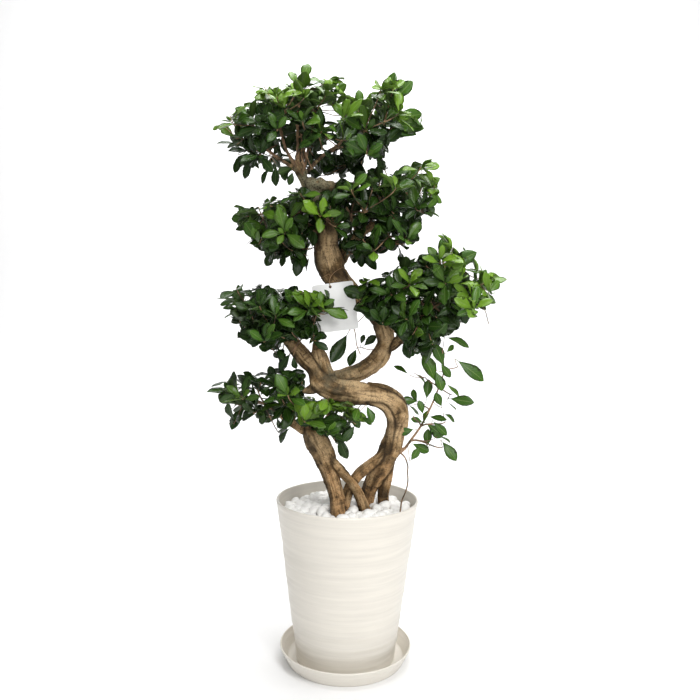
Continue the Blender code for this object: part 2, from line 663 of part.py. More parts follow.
def pebble_relief(shape):
    """Rounded stones in a jittered honeycomb: shared low corners, each cell with a raised crown."""
    draw = random.Random(5)
    corners = {}

    def corner(x, y):
        key = (round(4 * x / PEBBLE_CELL), round(4 * y / PEBBLE_CELL))
        if key not in corners:
            px = x + draw.uniform(-0.22, 0.22) * PEBBLE_CELL
            py = y + draw.uniform(-0.22, 0.22) * PEBBLE_CELL
            corners[key] = shape.verts.new((px, py, heap_height(px, py)))
        return corners[key]

    for row in range(-PEBBLE_RINGS, PEBBLE_RINGS + 1):
        for column in range(-PEBBLE_RINGS, PEBBLE_RINGS + 1):
            if abs(row + column) > PEBBLE_RINGS:
                continue
            x = PEBBLE_CELL * math.sqrt(3.0) * (column + row / 2)
            y = PEBBLE_CELL * 1.5 * row
            ring = []
            for k in range(6):
                turn = math.radians(60.0 * k + 30.0)
                ring.append(corner(x + PEBBLE_CELL * math.cos(turn), y + PEBBLE_CELL * math.sin(turn)))
            top = shape.faces.new(ring)
            middle = top.calc_center_median()
            rise = PEBBLE_RISE * draw.uniform(0.8, 1.2)
            bmesh.ops.inset_individual(shape, faces=[top], thickness=0.0, depth=0.0)
            for vert in top.verts:
                vert.co = middle + (vert.co - middle) * PEBBLE_CROWN
                vert.co.z = middle.z + rise


def add_pebbles(parts, holes):
    """A sheet of pebbles over the soil, trimmed to the pot's inside and open round the roots."""
    shape = bmesh.new()
    pebble_relief(shape)
    bmesh.ops.recalc_face_normals(shape, faces=shape.faces)
    rim = [edge for edge in shape.edges if edge.is_boundary]
    walls = bmesh.ops.extrude_edge_only(shape, edges=rim)["geom"]
    for vert in (item for item in walls if isinstance(item, bmesh.types.BMVert)):
        vert.co.z = SOIL_TOP - PEBBLE_BED
    bmesh.ops.holes_fill(shape, edges=[edge for edge in shape.edges if edge.is_boundary])
    bmesh.ops.recalc_face_normals(shape, faces=shape.faces)
    data = bpy.data.meshes.new("pebbles")
    shape.to_mesh(data)
    shape.free()
    pebbles = add_object("pebbles", data, parts)
    low, high = SOIL_TOP + GAP, POT_RIM_Z
    profile = [(0.0, high), (inner_radius(high), high), (inner_radius(low), low), (0.0, low)]
    inside = bare_mesh(turned("inside", profile, parts, "white_stone"), parts)
    apply_boolean(pebbles, "INTERSECT", "EXACT", cutter=inside)
    bpy.data.objects.remove(inside)
    apply_boolean(pebbles, "DIFFERENCE", "EXACT", collection=holes)
    pebbles.data.materials.clear()
    pebbles.data.materials.append(finish("white_stone"))
    return pebbles


def blade_points(root, across, heading, face, length, width):
    """The blade's corners from its root edge out: it widens, bends down a little and ends blunt."""
    bend = root + heading * length * LEAF_BEND_AT
    lower = heading * math.cos(LEAF_DROOP) - face * math.sin(LEAF_DROOP)
    end = bend + lower * length * (1.0 - LEAF_BEND_AT)
    half = across * width / 2
    return [bend - half, bend + half], [end - half * LEAF_END_WIDTH, end + half * LEAF_END_WIDTH]


def walled(name, shape, thick, holder):
    """A closed mesh object of an open bmesh surface with this wall; the bmesh is freed."""
    bmesh.ops.triangulate(shape, faces=shape.faces)
    data = bpy.data.meshes.new(name)
    shape.to_mesh(data)
    shape.free()
    obj = add_object(name, data, holder)
    wall = obj.modifiers.new("wall", "SOLIDIFY")
    wall.thickness = thick
    wall.offset = 0.0
    return bare_mesh(obj, holder)


def rosette_surface(centre, lean, start, blades, count):
    """A small plate square on the twig's end, with blades out of every other edge of it."""
    shape = bmesh.new()
    bmesh.ops.create_circle(shape, cap_ends=True, segments=2 * count, radius=STALK_R)
    frame = Matrix.Translation(centre) @ lean.to_4x4() @ Matrix.Rotation(start, 4, "Z")
    bmesh.ops.transform(shape, matrix=frame, verts=shape.verts)
    shape.verts.ensure_lookup_table()
    plate = list(shape.verts)
    for i, (heading, face, length, width) in blades.items():
        low, high = plate[2 * i], plate[2 * i + 1]
        middle = (low.co + high.co) / 2
        across = face.cross(heading).normalized()
        if across.dot(high.co - low.co) < 0:
            across = -across
        bend, end = blade_points(middle, across, heading, face, length, width)
        bend = [shape.verts.new(point) for point in bend]
        end = [shape.verts.new(point) for point in end]
        shape.faces.new((high, low, bend[0], bend[1]))
        shape.faces.new((bend[1], bend[0], end[0], end[1]))
    bmesh.ops.recalc_face_normals(shape, faces=shape.faces)
    return shape


def probe_surface(root, heading, face, length, width, begin):
    """One blade alone, from this share of its length, for trying whether it has room."""
    shape = bmesh.new()
    across = face.cross(heading).normalized()
    start = root + heading * length * begin
    half = across * (STALK_R + (width / 2 - STALK_R) * begin / LEAF_BEND_AT)
    bend, end = blade_points(root, across, heading, face, length * 1.03, width * 1.06)
    corners = [shape.verts.new(p) for p in (start - half, start + half, *reversed(bend))]
    shape.faces.new(corners)
    ends = [shape.verts.new(p) for p in end]
    shape.faces.new((corners[2], corners[3], ends[0], ends[1]))
    return shape


def curve_between(start, heading, end, count):
    """Points of a smooth bend that leaves start along heading and rises a little into end."""
    span = (end - start).length
    first = start + heading * span * 0.38
    last = end - (end - start).normalized() * span * 0.22 - Vector((0.0, 0.0, span * 0.12))
    points = []
    for i in range(count):
        t = i / (count - 1)
        s = 1.0 - t
        points.append(s ** 3 * start + 3 * s * s * t * first + 3 * s * t * t * last + t ** 3 * end)
    return points


def point_back(points, distance):
    """The point that lies this far back from a route's end, and the heading there."""
    for i in range(len(points) - 1, 0, -1):
        span = points[i] - points[i - 1]
        if distance <= span.length or i == 1:
            share = min(distance / span.length, 1.0)
            return points[i] - span * share, span.normalized()
        distance -= span.length
    return points[0], (points[1] - points[0]).normalized()


class Clearances:
    """What already stands, so that no new leaf crosses it."""

    def __init__(self):
        self.things = []

    def row(self, owner, solid):
        points = [solid.matrix_world @ v.co for v in solid.data.vertices]
        low = Vector(map(min, zip(*points)))
        high = Vector(map(max, zip(*points)))
        tree = BVHTree.FromPolygons(points, [tuple(p.vertices) for p in solid.data.polygons])
        return owner, (low + high) / 2, (high - low).length / 2, tree

    def crosses(self, owner, whole, outer=None):
        """True if whole crosses another node, or if its outer part crosses its own spray's."""
        middle, size = whole[1], whole[2]
        for other, other_outer in self.things:
            own = other[0] == owner
            if (own and not outer) or (other[1] - middle).length > size + other[2]:
                continue
            if (outer[3].overlap(other_outer[3]) if own else whole[3].overlap(other[3])):
                return True
        return False

    def add(self, whole, outer=None):
        self.things.append((whole, outer or whole))


def probe_of(name, parts, begin, blade):
    """A blade's thick stand-in as one row of Clearances."""
    solid = walled("probe", probe_surface(*blade, begin), PROBE_THICK, parts)
    row = Clearances().row(name, solid)
    data = solid.data
    bpy.data.objects.remove(solid)
    bpy.data.meshes.remove(data)
    return row


def add_rosette(name, draw, points, outward, clear, parts, count):
    """The leaves at a twig's end as one solid; a leaf with no room is turned, or left out."""
    centre, heading = point_back(points, 0.0)
    axis = (heading + outward * 0.6 + Vector((0.0, 0.0, 0.35))).normalized()
    start = draw.uniform(0.0, math.tau)
    lean = heading.to_track_quat("Z", "Y").to_matrix()
    blades = {}
    for i in range(count):
        for attempt in range(TRIES):
            turn = start + math.tau * (i + 0.25) / count + draw.uniform(-0.25, 0.25)
            tilt = math.radians(58.0 + draw.uniform(-18.0, 22.0))
            side = lean @ Vector((math.cos(turn), math.sin(turn), 0.0))
            along = axis * math.cos(tilt) + side * math.sin(tilt)
            face = (axis * math.sin(tilt) - side * math.cos(tilt)).normalized()
            face = Matrix.Rotation(draw.uniform(-0.45, 0.45), 3, along) @ face
            size = draw.uniform(0.9, 1.16)
            length, width = LEAF_LENGTH * size, LEAF_WIDTH * size * draw.uniform(0.92, 1.08)
            blade = (centre + side * STALK_R, along, face, length, width)
            whole = probe_of(name, parts, 0.0, blade)
            outer = probe_of(name, parts, PROBE_START, blade)
            if not clear.crosses(name, whole, outer):
                blades[i] = (along, face, length, width)
                clear.add(whole, outer)
                break
    surface = rosette_surface(centre, lean, start, blades, count)
    return walled(name + "_leaves", surface, LEAF_THICK, parts)


def length_of(points):
    return sum((b - a).length for a, b in zip(points, points[1:]))


def twig_route(start, heading, aim):
    """A twig that leaves straight, so that its end face stays square, and then bends to its aim."""
    step = start + heading * STALK_STEP
    return [start, *curve_between(step, heading, aim, 3)]


def tapered(points, thick):
    last = len(points) - 1
    return [thick + (TWIG_END_R - thick) * k / last for k in range(last + 1)]


def free_twig(name, draw, clear, parts, thick, route_to, aim):
    """A twig to about this aim that crosses no other node: its aim moves until it has room."""
    for attempt in range(TWIG_TRIES):
        reach = TWIG_SHIFT * attempt / TWIG_TRIES
        shift = Vector((draw.uniform(-reach, reach) for axis in range(3)))
        points = route_to(aim + shift)
        radii = tapered(points, thick)
        solid = tube("probe", points, [*radii[:-1], PROBE_END_R], parts, 0)
        row = clear.row(name, solid)
        bpy.data.objects.remove(solid)
        if not clear.crosses(name, row):
            clear.add(row)
            return points, radii
    raise RuntimeError(f"{name}: a twig finds no room")


def fork_route(root, bend, aim):
    """A side twig's route: it leaves root between the stem's heading and its own aim."""
    return curve_between(root, (bend + (aim - root).normalized()) / 2, aim, 3)


def spray_twigs(name, branch, tips, draw, clear, parts):
    """A spray's stem and twigs: routes and radii. It starts just off its branch's flat end."""
    ends = stem_points(branch_route(branch))
    heading = (ends[-1] - ends[-2]).normalized()
    start = ends[-1] + heading * GAP
    thick = branch[-1][3] * CM
    made = []
    for i, (x, z, y) in enumerate(tips):
        if i == 0:
            route_to = partial(twig_route, start, heading)
        else:
            stem = made[0][0]
            root, bend = point_back(stem, length_of(stem) - TWIG_FORK * (i + 1) / 2)
            route_to = partial(fork_route, root, bend)
        full = thick if i == 0 else thick * 0.7
        made.append(free_twig(name, draw, clear, parts, full, route_to, seen(x, z, y)))
    return made


def sprig_twigs(name, draw, clear, parts):
    """The long sprig's stem and side twigs: routes and radii."""
    ends = stem_points(branch_route(SPRIG_BRANCH))
    heading = (ends[-1] - ends[-2]).normalized()
    start = ends[-1] + heading * GAP
    full = SPRIG_BRANCH[-1][3] * CM
    stem = [start, start + heading * STALK_STEP] + [seen(x, z, y) for x, z, y in SPRIG_STEM[1:]]
    radii = tapered(stem, full)
    solid = tube("probe", stem, [*radii[:-1], PROBE_END_R], parts, 0)
    clear.add(clear.row(name, solid))
    bpy.data.objects.remove(solid)
    made = [(stem, radii)]
    for knot, (x, z, y) in SPRIG_TWIGS:
        root = stem[knot]
        bend = (stem[knot] - stem[knot - 1]).normalized()
        route_to = partial(fork_route, root, bend)
        aim = seen(x, z, y)
        made.append(free_twig(name, draw, clear, parts, radii[knot] * 0.8, route_to, aim))
    return made


def add_tag(parts, trunk):
    """A blank card on a string that goes through its hole and round the trunk."""
    x, y, z = TAG_CENTRE
    middle = seen(x, z, y)
    bpy.ops.mesh.primitive_cube_add(size=1.0)
    card = bpy.context.object
    card.name = "tag"
    for home in list(card.users_collection):
        home.objects.unlink(card)
    parts.objects.link(card)
    card.matrix_world = (
        Matrix.Translation(middle)
        @ Matrix.Rotation(-TAG_TURN, 4, "Y")
        @ Matrix.Diagonal((TAG_WIDTH, TAG_THICK, TAG_HEIGHT, 1.0))
    )
    frame = Matrix.Translation(middle) @ Matrix.Rotation(-TAG_TURN, 4, "Y")
    hole = frame @ Vector((-0.004, 0.0, TAG_HEIGHT / 2 - TAG_HOLE_DROP))
    bpy.ops.mesh.primitive_cylinder_add(vertices=12, radius=TAG_HOLE_R, depth=0.01)
    punch = bpy.context.object
    punch.matrix_world = Matrix.Translation(hole) @ Matrix.Rotation(math.pi / 2, 4, "X")
    card.data.materials.append(finish("card"))
    apply_boolean(card, "DIFFERENCE", "EXACT", cutter=punch)
    bpy.data.objects.remove(punch)
    up = frame.to_3x3() @ Vector((0.0, 0.0, 1.0))
    route = string_route(hole, up, trunk)
    string = tube("tag_string", route, [STRING_R] * len(route), parts, 1, cyclic=True)
    string.name = "tag_string"
    string.data.materials.append(finish("string"))
    return card, string


def string_route(hole, up, trunk):
    """A closed loop: through the hole, over the card's top and round the trunk, just off the bark."""
    points = [trunk.matrix_world @ v.co for v in trunk.data.vertices]
    bark = BVHTree.FromPolygons(points, [tuple(p.vertices) for p in trunk.data.polygons])
    line = stem_points(STEMS["upper_trunk"])
    centre = line[STRING_KNOT]
    axis = (line[STRING_KNOT + 1] - line[STRING_KNOT - 1]).normalized()
    across = Vector((1.0, 0.0, 0.0))
    across = (across - axis * across.dot(axis)).normalized()
    back = axis.cross(across)
    loop = []
    for i in range(STRING_POINTS):
        turn = math.radians(-66.0 + 312.0 * i / (STRING_POINTS - 1))
        outward = across * math.cos(turn) + back * math.sin(turn)
        hit = bark.ray_cast(centre + outward * 0.06, -outward)[0]
        loop.append(hit + outward * STRING_OFF)
    step = Vector((0.0, -STRING_STEP, 0.0))
    over = hole + up * (TAG_HOLE_DROP + 0.003) + step
    return [hole - step, hole + step, over, *loop, hole - step + up * 0.006]


def has_flaw(data):
    """True if the mesh isn't one closed sheet once points a few microns apart are made one."""
    shape = bmesh.new()
    shape.from_mesh(data)
    bmesh.ops.triangulate(shape, faces=shape.faces)
    bmesh.ops.remove_doubles(shape, verts=shape.verts, dist=FLAW_WELD)
    flawed = any(len(edge.link_faces) != 2 for edge in shape.edges)
    reached = {next(iter(shape.faces))}
    queue = list(reached)
    for face in queue:
        for edge in face.edges:
            for other in edge.link_faces:
                if other not in reached:
                    reached.add(other)
                    queue.append(other)
    flawed = flawed or len(reached) < len(shape.faces)
    shape.free()
    return flawed


def add_spray(name, made, leaf_counts, clear, parts):
    """A spray as one solid of twigs and leaves; one with a flaw is drawn again from a new seed."""
    heart = sum((points[0] for points, radii in made), Vector()) / len(made)
    standing = list(clear.things)
    for attempt in range(SPRAY_TRIES):
        draw = random.Random(f"{name} {attempt}")
        pieces = [tube(name, points, radii, parts, 0) for points, radii in made]
        for (points, radii), count in zip(made, leaf_counts):
            outward = (points[-1] - heart).normalized()
            pieces.append(add_rosette(name, draw, points, outward, clear, parts, count))
        spray = fuse(name, pieces, parts, "leaf", "MANIFOLD")
        if not has_flaw(spray.data):
            return spray
        bpy.data.objects.remove(spray)
        clear.things = list(standing)
    raise RuntimeError(f"{name}: its leaves and twigs don't join cleanly")


def main():
    for obj in list(bpy.data.objects):
        bpy.data.objects.remove(obj)
    parts = new_collection("potted_banyan")
    cutters = new_collection("cutters")
    add_saucer(parts)
    add_pot(parts, cutters)
    trunk = add_trunk(parts)
    holes = leg_cutters()
    add_soil(parts, holes)
    add_pebbles(parts, holes)
    clear = Clearances()
    for thing in (trunk, *add_tag(parts, trunk)):
        clear.add(clear.row(thing.name, thing))
    twigs = {}
    for name, (parent, branch, tips) in SPRAYS.items():
        twigs[name] = spray_twigs(name, branch, tips, random.Random(name), clear, parts)
    sprig = sprig_twigs("side_sprig", random.Random("side_sprig"), clear, parts)
    for name, made in twigs.items():
        add_spray(name, made, LEAVES_AT_TIPS, clear, parts)
    add_spray("side_sprig", sprig, [SPRIG_LEAVES_A_TIP] * len(sprig), clear, parts)


main()
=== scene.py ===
"""Dresses the potted Chinese banyan: its bark, leaves, pot, saucer, pebbles, tag and the studio round it.

Metres, +Z up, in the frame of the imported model: the origin is the middle of the saucer's underside.
"""

import math

import bpy
import numpy as np
from mathutils import Matrix, Vector
from mathutils.bvhtree import BVHTree


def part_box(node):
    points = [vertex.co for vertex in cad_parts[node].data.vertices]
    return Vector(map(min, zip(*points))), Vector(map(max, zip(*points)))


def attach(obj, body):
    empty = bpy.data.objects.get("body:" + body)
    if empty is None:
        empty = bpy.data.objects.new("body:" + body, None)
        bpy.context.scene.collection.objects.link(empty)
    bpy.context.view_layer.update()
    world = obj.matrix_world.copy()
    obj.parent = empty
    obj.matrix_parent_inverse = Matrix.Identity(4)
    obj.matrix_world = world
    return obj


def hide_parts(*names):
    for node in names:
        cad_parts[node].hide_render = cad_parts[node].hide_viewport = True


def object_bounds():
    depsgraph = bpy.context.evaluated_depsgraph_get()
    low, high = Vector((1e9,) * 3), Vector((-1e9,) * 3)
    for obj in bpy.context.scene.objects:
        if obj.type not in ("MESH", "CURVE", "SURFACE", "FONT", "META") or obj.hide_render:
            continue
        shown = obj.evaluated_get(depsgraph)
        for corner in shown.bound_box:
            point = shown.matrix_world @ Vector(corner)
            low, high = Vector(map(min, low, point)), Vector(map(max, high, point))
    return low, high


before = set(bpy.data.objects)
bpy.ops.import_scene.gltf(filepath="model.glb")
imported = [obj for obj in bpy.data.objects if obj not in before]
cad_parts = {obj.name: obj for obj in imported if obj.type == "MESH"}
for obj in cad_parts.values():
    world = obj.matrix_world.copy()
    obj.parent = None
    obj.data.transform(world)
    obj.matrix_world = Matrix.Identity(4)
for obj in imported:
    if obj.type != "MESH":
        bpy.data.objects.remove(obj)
CAD_BOX = [np.array(corner, float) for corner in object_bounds()]

bl_info = {
    "name": "Potted banyan",
    "version": (1, 0, 0),
    "blender": (4, 5, 0),
    "location": "View3D > Sidebar > Banyan",
    "description": "Makes the surfaces of a potted Chinese banyan round its packed solids",
    "category": "Mesh",
}

CM = 0.01
UP = np.array((0.0, 0.0, 1.0))

# Where the routes below were read from: each x and z is the spot that a point covers on the middle
# plane, y = 0, when it is looked at from here.
EYE = (0.0, -1.27, 0.65)

# Routes of the trunk, root to tip: x, z as seen, depth y, radius, all in cm
STEMS = {
    "left_leg": [
        (-0.6, 19.0, -4.6, 1.2), (-1.4, 26.5, -4.8, 1.45), (-1.75, 29.3, -4.3, 1.4),
        (-2.5, 31.9, -3.8, 1.4), (-3.4, 35.0, -3.0, 1.45), (-4.2, 37.7, -2.2, 1.9),
        (-5.3, 39.8, -1.5, 2.1), (-6.4, 41.6, -1.0, 1.8), (-6.9, 43.4, -0.6, 1.2),
    ],
    "inner_root": [
        (-3.9, 37.0, -2.6, 1.2), (-2.0, 35.3, -3.3, 1.0), (0.7, 32.6, -3.8, 0.85),
        (1.8, 31.0, -3.7, 0.95), (2.9, 28.5, -3.4, 1.0), (3.6, 25.0, -3.0, 0.9),
        (3.9, 20.0, -2.8, 0.7),
    ],
    "strut": [
        (7.0, 38.6, -0.5, 1.2), (5.6, 36.9, -1.0, 0.95), (3.8, 35.4, -1.4, 0.85),
        (2.0, 33.7, -1.9, 0.85), (0.8, 32.0, -2.3, 0.9), (-0.1, 29.6, -2.7, 0.9),
        (-0.5, 26.0, -2.9, 0.9), (-0.6, 20.0, -2.8, 0.7),
    ],
    "right_leg": [
        (2.6, 20.0, 0.4, 1.1), (3.3, 27.5, 0.0, 1.3), (4.2, 31.3, -0.2, 1.4),
        (5.2, 33.4, -0.3, 1.45), (6.5, 35.7, -0.3, 1.6), (7.4, 38.3, -0.2, 1.75),
        (8.2, 41.4, -0.1, 1.65), (8.9, 44.2, -0.3, 1.8), (8.6, 46.0, -0.8, 1.95),
        (6.7, 47.5, -1.6, 1.85), (4.0, 48.2, -2.4, 1.75), (0.4, 48.6, -3.0, 1.7),
        (-2.6, 49.2, -3.0, 1.8), (-4.6, 50.4, -2.6, 1.95), (-6.1, 52.6, -2.1, 1.8),
        (-8.2, 54.8, -1.6, 1.6), (-10.1, 57.2, -1.1, 1.25), (-11.5, 59.4, -0.8, 1.0),
        (-12.3, 61.2, -0.6, 0.75),
    ],
    "outer_leg": [
        (7.0, 20.5, 0.8, 0.75), (6.8, 27.7, 0.7, 0.9), (6.5, 30.0, 0.6, 0.9),
        (6.9, 33.0, 0.4, 0.9), (7.4, 36.4, 0.2, 1.15), (7.9, 38.9, 0.4, 1.1),
    ],
    "outer_strand": [
        (9.0, 42.4, 0.5, 0.9), (9.7, 45.2, 0.0, 1.05), (8.8, 47.6, -0.9, 1.0),
        (6.3, 49.4, -1.7, 0.85), (3.4, 50.0, -2.3, 0.7),
    ],
    "inner_strand": [
        (7.2, 38.0, -1.2, 0.8), (7.6, 41.5, -1.4, 0.7), (7.4, 44.8, -1.9, 0.8),
        (6.0, 46.4, -2.8, 0.8), (3.6, 47.2, -3.3, 0.6),
    ],
    "knee_stub": [
        (-4.4, 51.0, -2.4, 1.6), (-5.0, 53.6, -1.9, 1.5), (-5.5, 55.8, -1.6, 1.25),
        (-5.7, 57.6, -1.6, 0.75),
    ],
    "knee_spur": [(-5.0, 50.0, -2.0, 1.1), (-6.9, 49.1, -1.7, 0.75), (-8.2, 48.8, -1.6, 0.3)],
    "upper_trunk": [
        (-4.8, 51.2, -1.6, 1.6), (-2.2, 51.3, -0.1, 1.5), (0.4, 51.9, 0.7, 1.55),
        (3.0, 53.1, 1.0, 1.6), (5.2, 55.2, 0.9, 1.65), (6.4, 57.8, 0.5, 1.6),
        (6.0, 60.2, 0.2, 1.5), (4.5, 62.6, 0.0, 1.35), (2.5, 64.6, 0.0, 1.3),
        (0.6, 66.4, 0.0, 1.6), (-1.6, 68.2, 0.0, 2.1), (-2.9, 70.0, 0.0, 2.3),
        (-3.6, 72.2, 0.0, 2.4), (-4.1, 74.4, 0.1, 2.2), (-4.0, 77.0, 0.3, 1.95),
        (-4.4, 80.0, 0.5, 1.75), (-5.2, 82.6, 0.4, 1.8), (-5.8, 85.0, 0.2, 2.2),
    ],
    "crown": [
        (-5.8, 82.0, 0.9, 1.2), (-7.5, 84.6, 0.8, 0.95), (-8.5, 86.4, 0.4, 0.85),
        (-9.3, 87.8, 0.1, 0.7),
    ],
    "right_bough": [
        (6.0, 56.4, 0.6, 1.2), (8.3, 57.7, 0.2, 0.95), (10.2, 59.4, 0.0, 0.8),
        (12.0, 61.8, -0.2, 0.6), (13.6, 64.4, -0.4, 0.48), (14.9, 67.0, -0.6, 0.38),
    ],
    "shade_bough": [
        (-2.6, 71.4, 0.6, 1.2), (-1.0, 73.6, 0.9, 0.9), (0.7, 75.8, 0.8, 0.75),
        (2.8, 77.5, 0.4, 0.62), (5.6, 78.9, 0.0, 0.5), (8.4, 80.4, -0.3, 0.4),
    ],
    "left_bough": [
        (-4.8, 75.4, 0.2, 1.0), (-7.4, 77.2, -0.3, 0.65), (-9.8, 78.4, -0.7, 0.5),
        (-12.0, 79.0, -1.0, 0.36),
    ],
    "low_bough": [
        (-5.6, 40.4, -1.3, 1.2), (-8.0, 42.0, -1.3, 0.85), (-9.8, 42.9, -1.4, 0.65),
        (-12.6, 44.7, -1.6, 0.38),
    ],
    "hanging_root": [
        (9.2, 38.0, -0.2, 0.16), (10.4, 36.8, -0.5, 0.14), (10.9, 34.6, -1.2, 0.13),
        (10.8, 32.2, -2.2, 0.13), (10.1, 29.6, -3.4, 0.13), (9.4, 26.6, -4.2, 0.13),
        (9.2, 24.6, -4.4, 0.13),
    ],
}
LEGS = ("left_leg", "inner_root", "strut", "right_leg", "outer_leg", "hanging_root")

# The healed cut on top of the trunk: middle as seen, radii and lean
KNOB_AT = (-5.4, 85.2, -0.3)
KNOB_R = (0.0285, 0.024, 0.0145)
KNOB_LEAN = math.radians(-9.0)

